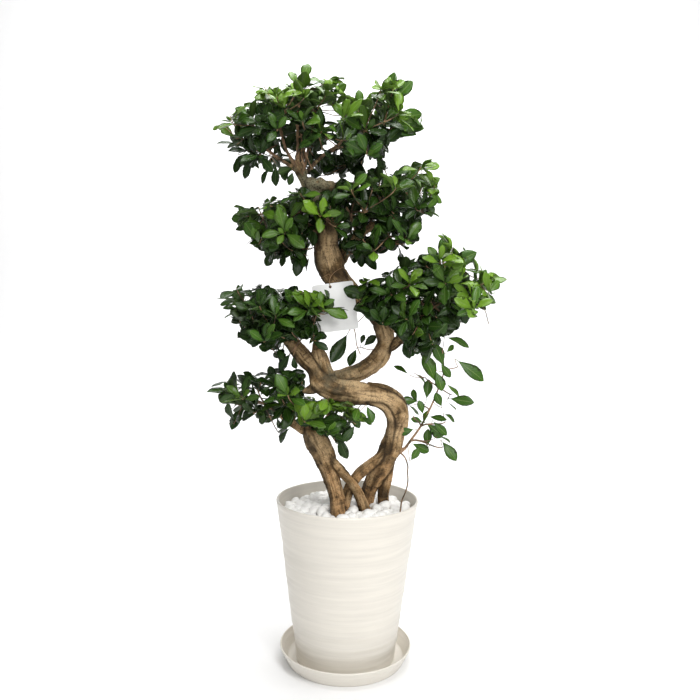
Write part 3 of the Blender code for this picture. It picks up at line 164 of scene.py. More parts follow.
# Sprays: the stem that each grows from, the points of its own branch in the trunk (the last one is
# where the spray takes over), and its shoot tips: x, z as seen, depth y, in cm.
# A branch point also has a radius.
SPRAYS = {
    "top_left": (
        "crown",
        [(-9.2, 87.4, 0.0, 0.5), (-11.4, 89.3, -0.3, 0.4), (-14.0, 90.6, -0.6, 0.28)],
        [(-19.4, 93.2, -1.2), (-17.4, 96.2, -3.2), (-16.6, 90.2, -3.4), (-18.2, 91.0, 3.4)],
    ),
    "top_left_upper": (
        "crown",
        [(-9.3, 87.8, 0.0, 0.5), (-10.9, 89.8, -0.9, 0.4), (-11.6, 91.6, -1.3, 0.34),
         (-12.2, 93.8, -1.8, 0.28)],
        [(-14.4, 99.0, -2.4), (-11.8, 98.0, -6.0), (-16.0, 95.4, -7.4), (-13.0, 94.6, -8.6)],
    ),
    "top_middle": (
        "crown",
        [(-9.3, 87.8, 0.1, 0.5), (-9.9, 91.2, 0.7, 0.36), (-9.5, 95.4, 1.0, 0.28)],
        [(-8.8, 101.6, 0.4), (-11.8, 99.8, 3.6), (-6.2, 98.6, 4.8), (-9.2, 98.2, 6.6)],
    ),
    "top_front": (
        "crown",
        [(-8.5, 86.8, -0.2, 0.5), (-8.0, 89.6, -1.3, 0.36), (-7.5, 91.8, -3.0, 0.28)],
        [(-5.2, 94.4, -7.0), (-8.6, 96.0, -7.8), (-6.4, 98.6, -4.2), (-9.6, 91.4, -8.2)],
    ),
    "top_right": (
        "crown",
        [(-8.4, 86.8, 0.0, 0.55), (-6.5, 89.2, 0.0, 0.45), (-4.2, 90.9, -0.2, 0.4),
         (-2.2, 92.2, -0.5, 0.34), (-0.7, 94.7, -0.8, 0.26)],
        [(-3.6, 99.2, -1.0), (1.2, 98.0, -2.2), (2.6, 94.6, -6.0), (-1.6, 96.6, -6.8)],
    ),
    "top_far_right": (
        "top_right",
        [(-3.0, 91.7, -0.3, 0.38), (0.4, 92.4, 0.4, 0.32), (3.2, 93.6, 0.5, 0.26)],
        [(6.4, 99.2, 0.4), (8.0, 95.8, -0.6), (5.8, 91.8, -2.6), (6.4, 94.2, 3.8)],
    ),
    "top_back": (
        "crown",
        [(-8.8, 87.2, 0.4, 0.5), (-8.8, 90.0, 2.4, 0.38), (-8.6, 92.6, 5.0, 0.28)],
        [(-5.6, 96.0, 9.4), (-10.6, 96.8, 9.8), (-14.2, 94.0, 7.6), (-8.0, 91.6, 11.6)],
    ),
    "top_back_right": (
        "top_right",
        [(-4.4, 90.6, 0.1, 0.38), (-2.8, 91.0, 2.2, 0.32), (-1.4, 91.8, 4.6, 0.26)],
        [(1.2, 95.6, 7.6), (3.4, 91.2, 6.2), (0.4, 88.4, 5.0), (-2.4, 93.0, 10.4)],
    ),
    "second_left": (
        "left_bough",
        [(-9.4, 78.3, -0.7, 0.45), (-11.6, 79.4, -1.6, 0.34), (-13.0, 79.9, -1.8, 0.26)],
        [(-17.0, 80.0, -2.2), (-14.6, 82.0, 0.4), (-14.8, 77.4, -5.0), (-16.8, 77.2, 1.8)],
    ),
    "second_left_low": (
        "left_bough",
        [(-8.6, 77.8, -0.4, 0.45), (-10.0, 77.0, 0.6, 0.34), (-11.2, 76.2, 1.2, 0.26)],
        [(-13.6, 74.8, -0.6), (-10.8, 73.6, 3.0), (-9.4, 74.0, -2.2), (-14.0, 75.6, 4.4)],
    ),
    "second_middle_left": (
        "left_bough",
        [(-6.6, 76.8, -0.4, 0.5), (-7.6, 78.4, -1.6, 0.36), (-8.4, 79.6, -2.2, 0.26)],
        [(-7.4, 82.2, -4.6), (-10.6, 82.0, -2.2), (-11.2, 79.2, -6.0), (-5.6, 80.8, -6.6)],
    ),
    "second_middle": (
        "shade_bough",
        [(1.2, 76.2, 0.5, 0.42), (0.9, 77.8, -1.2, 0.32), (0.2, 79.4, -2.4, 0.24)],
        [(-2.4, 83.8, -3.6), (0.6, 82.8, -4.8), (-3.6, 80.6, -6.2), (3.0, 80.8, -6.4)],
    ),
    "second_right": (
        "shade_bough",
        [(7.4, 79.9, -0.2, 0.4), (9.0, 81.0, -0.4, 0.34), (10.0, 81.9, -0.6, 0.26)],
        [(12.4, 85.0, -0.6), (12.8, 80.6, -2.4), (8.6, 85.4, -3.0), (14.2, 82.4, 2.6)],
    ),
    "second_right_upper": (
        "shade_bough",
        [(3.2, 77.6, 0.3, 0.45), (3.8, 79.6, 0.6, 0.34), (4.2, 81.4, 0.6, 0.26)],
        [(5.0, 85.6, 0.2), (1.8, 84.8, 2.6), (6.2, 82.8, -3.8), (7.8, 84.6, 3.8)],
    ),
    "second_right_low": (
        "shade_bough",
        [(4.2, 78.1, 0.1, 0.42), (5.6, 77.0, -0.9, 0.34), (6.6, 75.9, -1.6, 0.26)],
        [(9.4, 75.2, -2.2), (4.2, 73.4, -2.2), (10.8, 77.4, -4.4), (6.6, 77.0, -6.4)],
    ),
    "second_back": (
        "upper_trunk",
        [(-4.0, 77.6, 1.2, 0.7), (-2.2, 78.8, 3.4, 0.42), (-0.8, 79.6, 5.2, 0.28)],
        [(2.0, 81.4, 8.4), (-2.8, 82.6, 8.8), (4.4, 78.0, 7.2), (0.0, 77.0, 9.6)],
    ),
    "second_back_left": (
        "upper_trunk",
        [(-4.4, 76.4, 1.2, 0.7), (-6.6, 77.6, 3.2, 0.42), (-8.2, 78.8, 4.8, 0.28)],
        [(-11.8, 80.6, 6.6), (-7.6, 82.4, 8.4), (-12.4, 77.0, 7.0), (-7.6, 76.4, 9.4)],
    ),
    "left_outer": (
        "right_leg",
        [(-11.9, 60.4, -0.7, 0.6), (-13.0, 61.6, -0.9, 0.42), (-14.0, 62.3, -1.1, 0.28)],
        [(-18.8, 64.4, -1.6), (-17.2, 60.4, -2.8), (-15.8, 65.4, 1.2), (-18.2, 62.0, 3.0)],
    ),
    "left_middle": (
        "right_leg",
        [(-12.1, 60.8, -0.6, 0.6), (-12.0, 62.2, -0.8, 0.42), (-11.6, 63.2, -1.1, 0.28)],
        [(-10.6, 65.4, -2.8), (-13.6, 65.2, -3.8), (-9.0, 63.0, -5.4), (-13.2, 62.6, -6.4)],
    ),
    "left_back": (
        "right_leg",
        [(-11.6, 59.6, -0.4, 0.6), (-11.6, 60.8, 1.2, 0.42), (-11.8, 61.9, 2.8, 0.28)],
        [(-12.2, 65.0, 5.0), (-8.8, 62.8, 4.6), (-15.2, 61.4, 6.2), (-11.2, 60.4, 8.0)],
    ),
    "left_low": (
        "right_leg",
        [(-10.6, 58.0, -1.1, 0.6), (-12.0, 58.3, -1.8, 0.42), (-13.0, 58.4, -2.2, 0.28)],
        [(-16.0, 58.2, -1.8), (-12.6, 56.6, -4.0), (-14.4, 57.2, 2.2), (-13.6, 60.2, -6.2)],
    ),
    "left_inner": (
        "knee_stub",
        [(-5.7, 57.2, -1.6, 0.6), (-6.2, 58.6, -2.6, 0.42), (-6.4, 59.6, -3.4, 0.28)],
        [(-6.0, 64.4, -5.6), (-8.2, 60.6, -4.8), (-6.4, 58.0, -6.2), (-9.2, 57.4, -5.2)],
    ),
    "right_top": (
        "right_bough",
        [(14.4, 65.9, -0.5, 0.42), (15.2, 67.8, -0.6, 0.34), (15.6, 69.0, -0.7, 0.26)],
        [(16.6, 73.0, -1.0), (13.4, 71.4, -2.6), (19.4, 71.2, -0.2), (16.0, 70.0, -5.6)],
    ),
    "right_outer": (
        "right_bough",
        [(13.4, 64.0, -0.4, 0.45), (15.8, 65.6, -0.6, 0.36), (17.6, 66.5, -0.6, 0.26)],
        [(23.8, 68.6, -0.8), (21.4, 64.8, -2.2), (19.0, 68.8, -3.6), (20.6, 66.2, 3.4)],
    ),
    "right_inner": (
        "right_bough",
        [(11.4, 61.0, -0.2, 0.5), (10.4, 63.4, -0.8, 0.36), (9.9, 65.2, -1.1, 0.26)],
        [(9.4, 70.0, -1.6), (7.0, 66.8, -2.6), (11.8, 67.2, -4.6), (9.0, 67.4, -5.8)],
    ),
    "right_front": (
        "right_bough",
        [(12.4, 62.4, -0.4, 0.45), (13.6, 63.2, -2.0, 0.36), (14.4, 63.8, -3.2, 0.26)],
        [(17.0, 65.6, -5.0), (13.6, 66.2, -6.4), (17.4, 62.0, -4.4), (12.6, 62.6, -7.2)],
    ),
    "right_shoot": (
        "upper_trunk",
        [(5.4, 61.2, 0.1, 0.7), (5.9, 62.2, -1.8, 0.36), (5.6, 63.0, -3.0, 0.24)],
        [(3.0, 66.6, -4.8), (6.6, 62.0, -5.2), (3.6, 63.2, -5.8)],
    ),
    "right_low": (
        "right_bough",
        [(10.6, 59.9, -0.2, 0.5), (12.2, 60.0, -1.0, 0.36), (13.2, 59.8, -1.6, 0.26)],
        [(16.2, 60.2, -1.6), (13.8, 57.2, -2.2), (10.6, 58.6, -4.4), (15.0, 59.8, -5.4)],
    ),
    "right_back": (
        "right_bough",
        [(12.0, 61.6, 0.0, 0.5), (12.2, 63.0, 2.0, 0.38), (12.4, 64.2, 4.0, 0.28)],
        [(14.8, 67.4, 7.6), (10.4, 67.4, 6.6), (17.2, 64.2, 6.2), (12.8, 62.8, 9.6)],
    ),
    "right_back_low": (
        "right_bough",
        [(10.2, 59.4, 0.2, 0.5), (11.6, 59.8, 1.6, 0.38), (12.6, 60.0, 2.8, 0.28)],
        [(15.6, 60.0, 4.4), (11.8, 57.8, 4.6), (17.6, 61.4, 3.2), (10.6, 60.8, 7.0)],
    ),
    "low_left": (
        "low_bough",
        [(-11.6, 44.1, -1.5, 0.42), (-12.9, 45.0, -1.7, 0.34), (-14.0, 45.8, -1.9, 0.26)],
        [(-21.2, 48.8, -2.2), (-17.0, 44.8, -3.6), (-16.4, 49.4, -0.4), (-20.0, 46.4, 1.8)],
    ),
    "low_middle": (
        "low_bough",
        [(-9.6, 42.8, -1.4, 0.5), (-9.8, 44.4, -1.8, 0.36), (-10.0, 45.6, -2.0, 0.26)],
        [(-12.4, 49.4, -1.4), (-8.8, 49.0, -1.6), (-11.6, 46.4, -5.2), (-8.8, 45.4, -5.8)],
    ),
    "low_back": (
        "left_leg",
        [(-6.6, 42.2, -0.4, 0.7), (-7.6, 43.6, 1.2, 0.42), (-8.4, 44.8, 2.6, 0.28)],
        [(-12.4, 47.0, 4.6), (-8.4, 48.2, 5.6), (-14.6, 44.2, 3.2), (-5.8, 45.8, 5.4)],
    ),
    "low_inner": (
        "left_leg",
        [(-6.5, 42.4, -1.2, 0.7), (-5.6, 43.6, -2.2, 0.4), (-4.8, 44.5, -2.8, 0.28)],
        [(-3.4, 46.6, -4.6), (0.2, 44.2, -4.2), (-5.4, 42.8, -6.2), (-2.4, 41.0, -3.8)],
    ),
}

# The long thin sprig at the right: its stem from the trunk up into the right pad, and its side twigs
SPRIG_BRANCH = [(8.0, 37.2, -0.1, 0.6), (9.4, 38.1, -0.2, 0.4), (10.3, 38.8, -0.3, 0.28)]
SPRIG_STEM = [
    (10.3, 38.8, -0.3), (11.4, 40.4, -0.6), (12.9, 42.6, -1.0), (14.6, 46.0, -1.2),
    (15.9, 49.3, -1.2), (16.9, 52.6, -1.0), (16.8, 55.2, -0.8),
]
SPRIG_TWIGS = [
    (6, (16.6, 56.4, -2.0)), (5, (19.4, 53.6, -0.8)), (4, (13.6, 51.6, -0.8)),
    (4, (18.4, 48.6, -2.4)), (3, (12.6, 47.0, 0.2)), (2, (17.4, 43.6, -2.2)),
    (2, (11.6, 44.6, -2.6)), (1, (14.4, 40.2, -0.6)), (1, (17.0, 39.0, 0.8)),
]

# A thin aerial root that hangs from the upper bend, as the routes above
THIN_ROOT = [(0.4, 61.6, 0.4, 0.11), (0.9, 59.8, -0.6, 0.10), (1.3, 57.6, -1.0, 0.09), (2.0, 55.6, -0.6, 0.10)]

# The long sprig's leaves: where each starts and ends, x and z as seen, and how far it faces the front
SPRIG_LEAVES = [
    (16.9, 58.9, 21.3, 57.6, 0.5), (18.8, 55.0, 24.0, 51.6, 0.6), (17.2, 56.0, 18.7, 57.4, 0.7),
    (17.0, 53.4, 15.4, 57.2, 0.9), (16.2, 54.4, 18.0, 51.8, 0.7), (15.6, 50.4, 13.9, 55.2, 0.8),
    (11.6, 52.4, 14.2, 50.8, 0.3), (13.9, 47.4, 14.3, 51.0, 0.9), (17.2, 50.6, 19.9, 48.6, 0.5),
    (17.7, 47.9, 22.1, 47.3, 0.6), (16.8, 46.2, 15.6, 48.4, 0.8), (17.5, 47.3, 19.3, 46.0, 0.4),
    (17.0, 45.2, 19.3, 44.0, 0.4), (12.6, 47.2, 9.8, 47.7, 0.6), (12.4, 47.0, 11.2, 49.2, 0.4),
    (13.4, 44.8, 12.8, 47.2, 0.8), (13.6, 43.4, 11.4, 44.2, 0.7), (12.0, 42.3, 9.4, 41.5, 0.9),
    (13.7, 43.5, 17.4, 40.9, 0.6), (15.0, 43.9, 17.6, 41.4, 0.8), (14.2, 38.8, 14.3, 42.0, 0.9),
    (11.2, 39.8, 14.6, 38.2, 0.6), (16.6, 40.4, 19.5, 37.0, 0.6), (11.2, 36.3, 12.7, 38.6, 0.9),
    (14.2, 44.6, 17.4, 44.2, 0.4), (10.8, 52.0, 8.6, 53.9, 0.7), (10.6, 46.6, 12.8, 45.2, 0.5),
    (16.0, 41.0, 18.4, 40.6, 0.2), (15.4, 53.0, 16.8, 49.6, 0.6), (14.8, 46.2, 13.2, 44.2, 0.4),
]

# The pads' outlines as seen, x and z in cm, by what their sprays' names start with
OUTLINES = {
    "top": [
        (-24.2, 94.9), (-17.9, 99.2), (-16.6, 101.7), (-11.6, 102.4), (-11.1, 104.7), (-8.1, 106.2), (-6.9, 103.4),
        (-2.8, 103.9), (-1.0, 102.3), (-1.4, 100.7), (1.2, 101.5), (2.6, 100.3), (6.3, 104.7), (7.4, 103.4),
        (9.9, 103.3), (8.0, 99.0), (12.2, 97.4), (12.0, 95.2), (7.8, 93.2), (5.7, 90.1), (1.2, 90.0), (2.0, 87.0),
        (-9.2, 86.6), (-9.9, 85.2), (-11.2, 86.0), (-13.1, 85.1), (-14.0, 86.5), (-16.0, 85.8), (-16.6, 88.0),
        (-19.2, 86.6), (-20.4, 87.4), (-20.3, 90.2), (-23.4, 92.3), (-21.4, 93.2),
    ],
    "second": [
        (-21.0, 79.2), (-19.7, 81.2), (-17.2, 81.0), (-9.3, 84.6), (-2.9, 84.6), (-2.6, 86.4), (2.6, 85.7),
        (1.0, 87.3), (4.8, 89.9), (6.4, 87.6), (14.0, 89.7), (15.3, 88.9), (13.4, 87.6), (15.3, 86.5), (14.6, 84.9),
        (16.2, 83.2), (13.2, 82.3), (15.6, 80.4), (12.7, 80.8), (12.4, 76.5), (9.6, 73.5), (5.0, 73.4), (4.2, 70.5),
        (-1.6, 73.0), (-4.0, 76.0), (-7.3, 73.6), (-8.0, 70.2), (-9.5, 69.7), (-9.9, 72.2), (-14.6, 70.9),
        (-15.5, 73.7), (-18.6, 75.0), (-18.3, 76.7), (-20.1, 77.3),
    ],
    "left": [
        (-23.4, 65.4), (-20.3, 67.2), (-17.0, 66.7), (-16.2, 67.7), (-5.0, 66.5), (-0.4, 63.1), (-6.0, 61.6),
        (-4.1, 58.8), (-4.0, 56.5), (-9.4, 59.2), (-12.3, 57.6), (-11.2, 55.4), (-12.5, 52.6), (-13.0, 56.8),
        (-15.5, 56.5), (-15.4, 57.7), (-17.0, 56.7), (-19.7, 58.6), (-19.6, 60.1), (-22.4, 62.4),
    ],
    "right": [
        (-0.9, 66.9), (2.4, 69.1), (4.3, 68.3), (8.5, 71.3), (8.6, 73.6), (13.1, 73.4), (16.8, 76.4), (18.3, 75.4),
        (18.5, 73.5), (20.7, 74.2), (22.0, 73.5), (21.9, 71.6), (27.4, 69.5), (26.5, 67.6), (25.2, 67.4),
        (25.8, 65.4), (24.1, 63.9), (19.0, 60.8), (17.9, 58.9), (15.5, 59.8), (15.8, 57.2), (13.6, 54.8),
        (12.6, 56.3), (10.6, 55.0), (8.8, 58.6), (4.8, 62.0), (0.8, 63.6), (1.4, 65.0),
    ],
    "low": [
        (-25.0, 48.6), (-24.4, 50.4), (-21.5, 50.6), (-20.4, 52.0), (-15.3, 51.7), (-12.8, 53.2), (-10.6, 51.6),
        (-8.8, 52.7), (-7.4, 51.6), (-8.6, 50.2), (-7.8, 47.8), (-3.5, 48.6), (-0.3, 46.9), (1.2, 47.6), (3.9, 44.8),
        (4.2, 42.6), (1.9, 42.4), (-0.3, 39.8), (-0.4, 36.7), (-3.0, 41.0), (-5.3, 40.1), (-9.8, 43.4), (-13.0, 39.9),
        (-12.2, 42.4), (-13.6, 43.6), (-15.5, 42.5), (-17.3, 44.4), (-18.6, 42.6), (-19.4, 43.6), (-21.1, 42.2),
        (-21.4, 43.7), (-20.0, 45.4), (-22.5, 45.3),
    ],
}

# Single leaves that the pads' outlines show: start and end as seen, and how far each faces the front
EDGE_LEAVES = [
    (-22.2, 95.1, -24.2, 94.9, 0.1), (-20.2, 93.0, -22.8, 95.1, 0.8), (-20.0, 92.0, -23.4, 92.5, 0.4),
    (-18.3, 91.0, -21.5, 91.4, 0.5), (-17.4, 97.0, -20.2, 98.7, 0.9), (-13.8, 100.0, -16.5, 101.7, 0.9),
    (-9.6, 102.0, -10.8, 104.9, 0.9), (-8.8, 102.6, -7.6, 106.1, 0.95), (-8.2, 103.0, -5.7, 103.7, 0.2),
    (-4.2, 100.4, -5.2, 103.5, 0.9), (-4.0, 101.0, -2.9, 103.8, 0.8), (-3.8, 100.6, -1.1, 102.3, 0.9),
    (-0.2, 98.0, -0.9, 100.7, 0.8), (1.2, 98.4, 1.3, 101.4, 0.8), (5.6, 99.0, 3.6, 101.3, 0.6),
    (6.5, 98.8, 6.3, 104.5, 0.9), (6.8, 99.0, 9.9, 103.3, 0.9), (5.8, 101.4, 3.5, 102.6, 0.6),
    (6.4, 97.0, 12.1, 97.2, 0.8), (6.2, 95.8, 12.0, 95.5, 0.8), (5.8, 94.8, 10.9, 94.5, 0.7),
    (5.6, 94.4, 7.8, 93.2, 0.05), (4.4, 92.8, 6.6, 91.2, 0.7), (3.6, 92.2, 5.7, 90.2, 0.6), (-2.0, 90.4, 2.0, 87.2, 0.9),
    (-19.8, 90.2, -20.1, 87.3, 0.5), (-16.8, 89.8, -19.3, 86.7, 0.6), (-14.0, 88.2, -16.1, 85.9, 0.4),
    (-13.2, 88.8, -13.3, 85.2, 0.8), (-11.8, 88.8, -11.6, 86.0, 0.4), (-10.2, 87.6, -10.8, 85.4, 0.8),
    (-18.4, 79.0, -20.9, 79.2, 0.7), (-18.6, 79.6, -19.6, 81.3, 0.9), (-17.6, 77.8, -20.1, 77.4, 0.7),
    (-14.6, 80.4, -14.8, 82.7, 0.8), (-16.0, 76.2, -18.5, 75.1, 0.1), (-13.2, 73.8, -15.0, 71.1, 0.8),
    (-11.4, 73.6, -12.3, 71.2, 0.5), (-8.8, 73.6, -9.4, 69.7, 0.6), (-7.2, 72.8, -8.0, 70.2, 0.3),
    (-6.4, 80.6, -9.0, 83.6, 0.8), (-5.0, 81.0, -4.3, 84.2, 0.8), (-3.6, 81.6, -1.2, 83.8, 0.6),
    (-7.6, 80.9, -7.4, 84.3, 0.6), (-2.2, 83.6, -1.4, 86.1, 0.95), (-2.4, 83.3, -5.4, 84.5, 0.8), (-2.6, 82.2, -6.0, 82.0, 0.7),
    (-7.0, 80.3, -2.7, 80.6, 0.6), (-6.6, 80.0, -4.5, 78.5, 0.7), (-6.8, 80.8, -9.8, 81.9, 0.6),
    (5.4, 86.6, 4.8, 89.8, 0.5), (6.0, 85.8, 3.3, 88.1, 0.8), (12.2, 88.0, 15.3, 89.0, 0.9), (7.4, 86.8, 10.2, 88.6, 0.8),
    (12.8, 85.2, 15.3, 86.5, 0.9), (12.6, 84.0, 16.2, 83.2, 0.5), (12.8, 81.0, 15.6, 80.4, 0.2),
    (10.6, 79.0, 12.3, 76.4, 0.2), (9.6, 77.6, 11.7, 76.5, 0.8), (2.4, 74.4, 4.1, 70.7, 0.9), (1.8, 74.2, 2.1, 71.1, 0.8),
    (1.0, 74.8, 0.7, 71.9, 0.8), (-0.2, 75.0, -2.5, 73.4, 0.8), (-0.4, 77.4, -2.7, 78.6, 0.9),
    (-20.2, 65.0, -23.3, 65.4, 0.3), (-20.4, 64.4, -23.1, 64.7, 0.3), (-19.8, 63.4, -22.3, 64.0, 0.5),
    (-19.4, 62.6, -22.3, 62.5, 0.4), (-18.0, 62.2, -20.8, 61.1, 0.8), (-18.4, 65.0, -20.1, 67.3, 0.9),
    (-16.8, 60.6, -19.6, 58.8, 0.8), (-15.6, 60.0, -17.2, 56.7, 0.9), (-13.8, 59.4, -15.3, 56.4, 0.7),
    (-15.4, 65.2, -14.4, 67.7, 0.8), (-12.2, 64.0, -9.4, 67.4, 0.9), (-5.4, 63.6, -7.7, 66.9, 0.4),
    (-5.4, 63.9, -5.0, 66.5, 0.7), (-5.2, 63.8, -3.0, 65.5, 0.6), (-5.2, 63.5, -0.5, 63.0, 0.7),
    (-5.6, 63.0, -7.6, 64.6, 0.6), (-6.0, 61.4, -5.7, 58.4, 0.95), (-7.0, 58.8, -4.1, 58.8, 0.4),
    (-6.8, 58.0, -3.9, 56.5, 0.7), (-10.2, 55.8, -12.4, 52.7, 0.8), (-10.0, 55.2, -9.6, 52.9, 0.4),
    (-21.0, 50.4, -24.4, 50.3, 0.15), (-20.6, 48.9, -25.0, 48.7, 0.5), (-20.2, 49.6, -20.6, 52.0, 0.9),
    (-19.4, 48.6, -23.1, 46.6, 0.9), (-18.2, 46.2, -21.3, 42.3, 0.9), (-16.4, 50.4, -18.3, 52.4, 0.6),
    (-13.0, 50.4, -14.2, 53.1, 0.9), (-12.0, 50.8, -11.5, 52.6, 0.7), (-11.6, 50.4, -8.4, 52.4, 0.7),
    (-11.4, 50.2, -8.2, 49.1, 0.8), (-15.4, 45.8, -15.2, 42.5, 0.9), (-10.2, 42.3, -13.0, 40.1, 0.5),
    (-4.4, 45.4, -0.3, 46.7, 0.9), (-3.4, 45.0, -5.6, 46.8, 0.8), (-2.6, 44.6, -0.6, 43.2, 0.8),
    (0.2, 46.0, 2.1, 45.0, 0.8), (0.6, 45.4, 1.9, 42.4, 0.7), (1.4, 43.0, -0.8, 40.1, 0.8), (-1.8, 41.2, -0.4, 36.9, 0.9),
    (2.3, 44.4, 4.3, 43.2, 0.8), (3.2, 46.6, 4.4, 43.6, 0.3), (4.0, 66.4, 2.3, 69.0, 0.5), (3.8, 65.9, -0.8, 67.0, 0.7),
    (4.3, 66.2, 8.0, 67.9, 0.8), (5.4, 64.7, 1.0, 63.9, 0.6), (9.3, 71.0, 8.7, 73.5, 0.8), (15.8, 71.6, 14.1, 74.6, 0.7),
    (16.2, 71.4, 16.9, 76.3, 0.95), (16.7, 71.2, 21.9, 73.7, 0.9), (15.4, 71.2, 12.9, 73.2, 0.5),
    (20.0, 70.8, 23.2, 71.1, 0.1), (22.6, 68.0, 23.9, 70.6, 0.9), (23.4, 68.4, 27.3, 69.5, 0.5),
    (22.0, 66.2, 25.6, 65.3, 0.8), (21.4, 65.6, 24.2, 64.1, 0.4), (19.4, 65.6, 21.8, 62.9, 0.9),
    (20.0, 64.6, 20.6, 61.4, 0.8), (18.6, 63.6, 19.1, 60.8, 0.7), (16.0, 62.4, 16.8, 59.0, 0.8),
    (15.0, 60.6, 15.8, 57.2, 0.6), (13.2, 60.0, 13.9, 55.0, 0.6), (11.6, 59.0, 12.8, 56.5, 0.6),
    (9.9, 59.0, 10.7, 55.2, 0.8), (-0.1, 59.6, -2.9, 54.5, 0.95), (1.4, 56.8, 0.1, 53.7, 0.8),
    (2.4, 56.9, 4.6, 58.8, 0.9), (2.0, 57.2, 2.6, 59.0, 0.6),
]

# Thin bare shoots that hold some of those leaves or end on their own: x and z as seen, depth y, in cm,
# after the spray that each is part of
BARE_SHOOTS = [
    ("right_shoot", [(3.6, 63.6, 0.6), (1.8, 61.6, 1.4), (-0.1, 59.7, 1.2)]),
    ("right_shoot", [(5.6, 56.8, 1.6), (3.8, 56.4, 2.2), (2.0, 56.8, 2.2)]),
    ("left_inner", [(-6.3, 59.4, -3.4), (-6.2, 61.4, -7.6), (-5.4, 63.7, -8.6)]),
    ("right_outer", [(21.4, 65.4, -2.4), (23.6, 64.2, -2.8), (24.7, 61.3, -3.0)]),
]

# Bright young shoots as seen
BRIGHT = [
    (-8.2, 104.6), (-13.6, 101.4), (-11.2, 100.4), (-15.6, 101.0), (6.8, 102.0), (9.2, 102.4), (9.6, 96.8),
    (-0.8, 99.6), (1.6, 100.2), (-4.4, 95.2), (1.6, 95.6), (-3.2, 103.0), (-21.4, 94.4), (4.8, 87.4), (10.8, 87.2),
    (13.6, 84.8), (-1.8, 85.4), (-6.2, 80.4), (0.8, 82.6), (-16.0, 79.0), (-13.4, 78.4), (-12.4, 74.4),
    (-18.6, 80.6), (-1.2, 73.8), (-10.0, 66.6), (-5.2, 65.8), (16.8, 75.2),
    (14.0, 73.2), (20.6, 73.0), (24.6, 69.4), (22.8, 65.8), (3.2, 68.2), (1.4, 67.0), (9.2, 72.0), (12.4, 66.0),
    (10.2, 66.8), (19.0, 68.4), (-2.6, 45.0), (-1.4, 46.2), (-0.6, 44.0), (-6.6, 47.8), (-15.6, 47.2),
    (-11.4, 45.6), (-19.6, 46.8), (-8.6, 43.6), (-4.8, 46.8),
]

# Views of the bare wood and the card that no leaf in front of this depth (m) may hide:
# x from and to, z from and to, as seen
VIEWS = np.array([
    (-13.2, -8.4, 87.6, 95.6, 0.004), (-8.4, -4.4, 87.2, 91.8, 0.004), (-11.0, -7.4, 85.0, 88.8, 0.004), (-8.2, -2.8, 84.0, 87.2, 0.05),
    (-7.2, -5.6, 81.5, 82.8, 0.05), (-5.3, -2.2, 75.5, 79.4, 0.05), (-6.8, -1.7, 70.4, 75.7, 0.05),
    (-4.0, 1.6, 67.0, 70.4, 0.05), (-5.0, 1.0, 59.8, 66.2, -0.075), (-7.6, -3.4, 49.4, 56.6, 0.05),
    (-7.4, 10.4, 47.4, 52.6, 0.05), (0.8, 8.4, 52.6, 60.6, 0.05), (-12.6, -7.4, 38.0, 41.4, 0.05),
    (-6.8, -2.6, 30.0, 40.4, 0.05), (-5.2, -2.8, 95.8, 98.4, 0.2), (-4.6, -2.8, 90.9, 93.0, 0.2),
])

# The camera, fitted to the photograph's pot and saucer
CAMERA_AT = (0.0016, -1.2737, 0.6536)
CAMERA_DOWN = 0.0709
CAMERA_ROLL = 0.0128
FOCAL_PIXELS = 718.2
IMAGE_PIXELS = 700
SENSOR_MM = 36.0

# Heights in the pot, as in the solids
POT_RIM_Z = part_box("pot")[1][2]
POT_FOOT_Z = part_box("pot")[0][2]
POT_RIM_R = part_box("pot")[1][0]
POT_BASE_R = 0.0890
POT_WALL = 0.0030
POT_LIP = 0.0042
POT_FOOT_IN = 0.012
DRAIN_R = 0.006
DRAIN_RING_R = 0.045
DRAIN_COUNT = 4
SAUCER_BASE_R = 0.103
SAUCER_RIM_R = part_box("saucer")[1][0]
SAUCER_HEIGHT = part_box("saucer")[1][2]
SAUCER_FLOOR = 0.004
SOIL_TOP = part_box("soil")[1][2]
HEAP_RISE = 0.014
HEAP_R = 0.070

KNOB_STEPS = 24
GOLDEN_TURN = math.pi * (3.0 - math.sqrt(5.0))


class BanyanSizes(bpy.types.PropertyGroup):
    """Sizes that a user may change."""

    leaf_length: bpy.props.FloatProperty(
        name="Leaf length", description="Blade and stalk of a full-grown leaf", default=0.0400,
        min=0.01, max=0.1, unit="LENGTH",
    )
    leaf_width: bpy.props.FloatProperty(
        name="Leaf width", description="Widest part of a full-grown leaf", default=0.0190,
        min=0.005, max=0.05, unit="LENGTH",
    )
    leaf_thickness: bpy.props.FloatProperty(
        name="Leaf thickness", description="Thickness at the midrib", default=0.0009,
        min=0.0002, max=0.003, unit="LENGTH",
    )
    leaves_at_tip: bpy.props.IntProperty(
        name="Leaves at a tip", description="Leaves in the rosette at each shoot's end", default=8, min=1, max=14,
    )
    more_shoots: bpy.props.IntProperty(
        name="More shoots", description="Short leafy shoots added to each spray", default=7, min=0, max=12,
    )
    bark_grain: bpy.props.FloatProperty(
        name="Bark mesh size", description="Edge length of the trunk's mesh", default=0.0017,
        min=0.001, max=0.01, unit="LENGTH",
    )
    bark_relief: bpy.props.FloatProperty(
        name="Bark relief", description="Height of the bark's lumps and rings", default=0.0011,
        min=0.0, max=0.005, unit="LENGTH",
    )
    ridge_depth: bpy.props.FloatProperty(
        name="Pot ridges", description="Depth of the brushed ridges on the pot", default=0.0006,
        min=0.0, max=0.003, unit="LENGTH",
    )
    stone_length: bpy.props.FloatProperty(
        name="Stone length", description="Length of a mean pebble", default=0.0222,
        min=0.005, max=0.05, unit="LENGTH",
    )


def colour_property(name, text, value):
    return bpy.props.FloatVectorProperty(
        name=name, description=text, subtype="COLOR", size=3, min=0.0, max=1.0, default=value,
    )


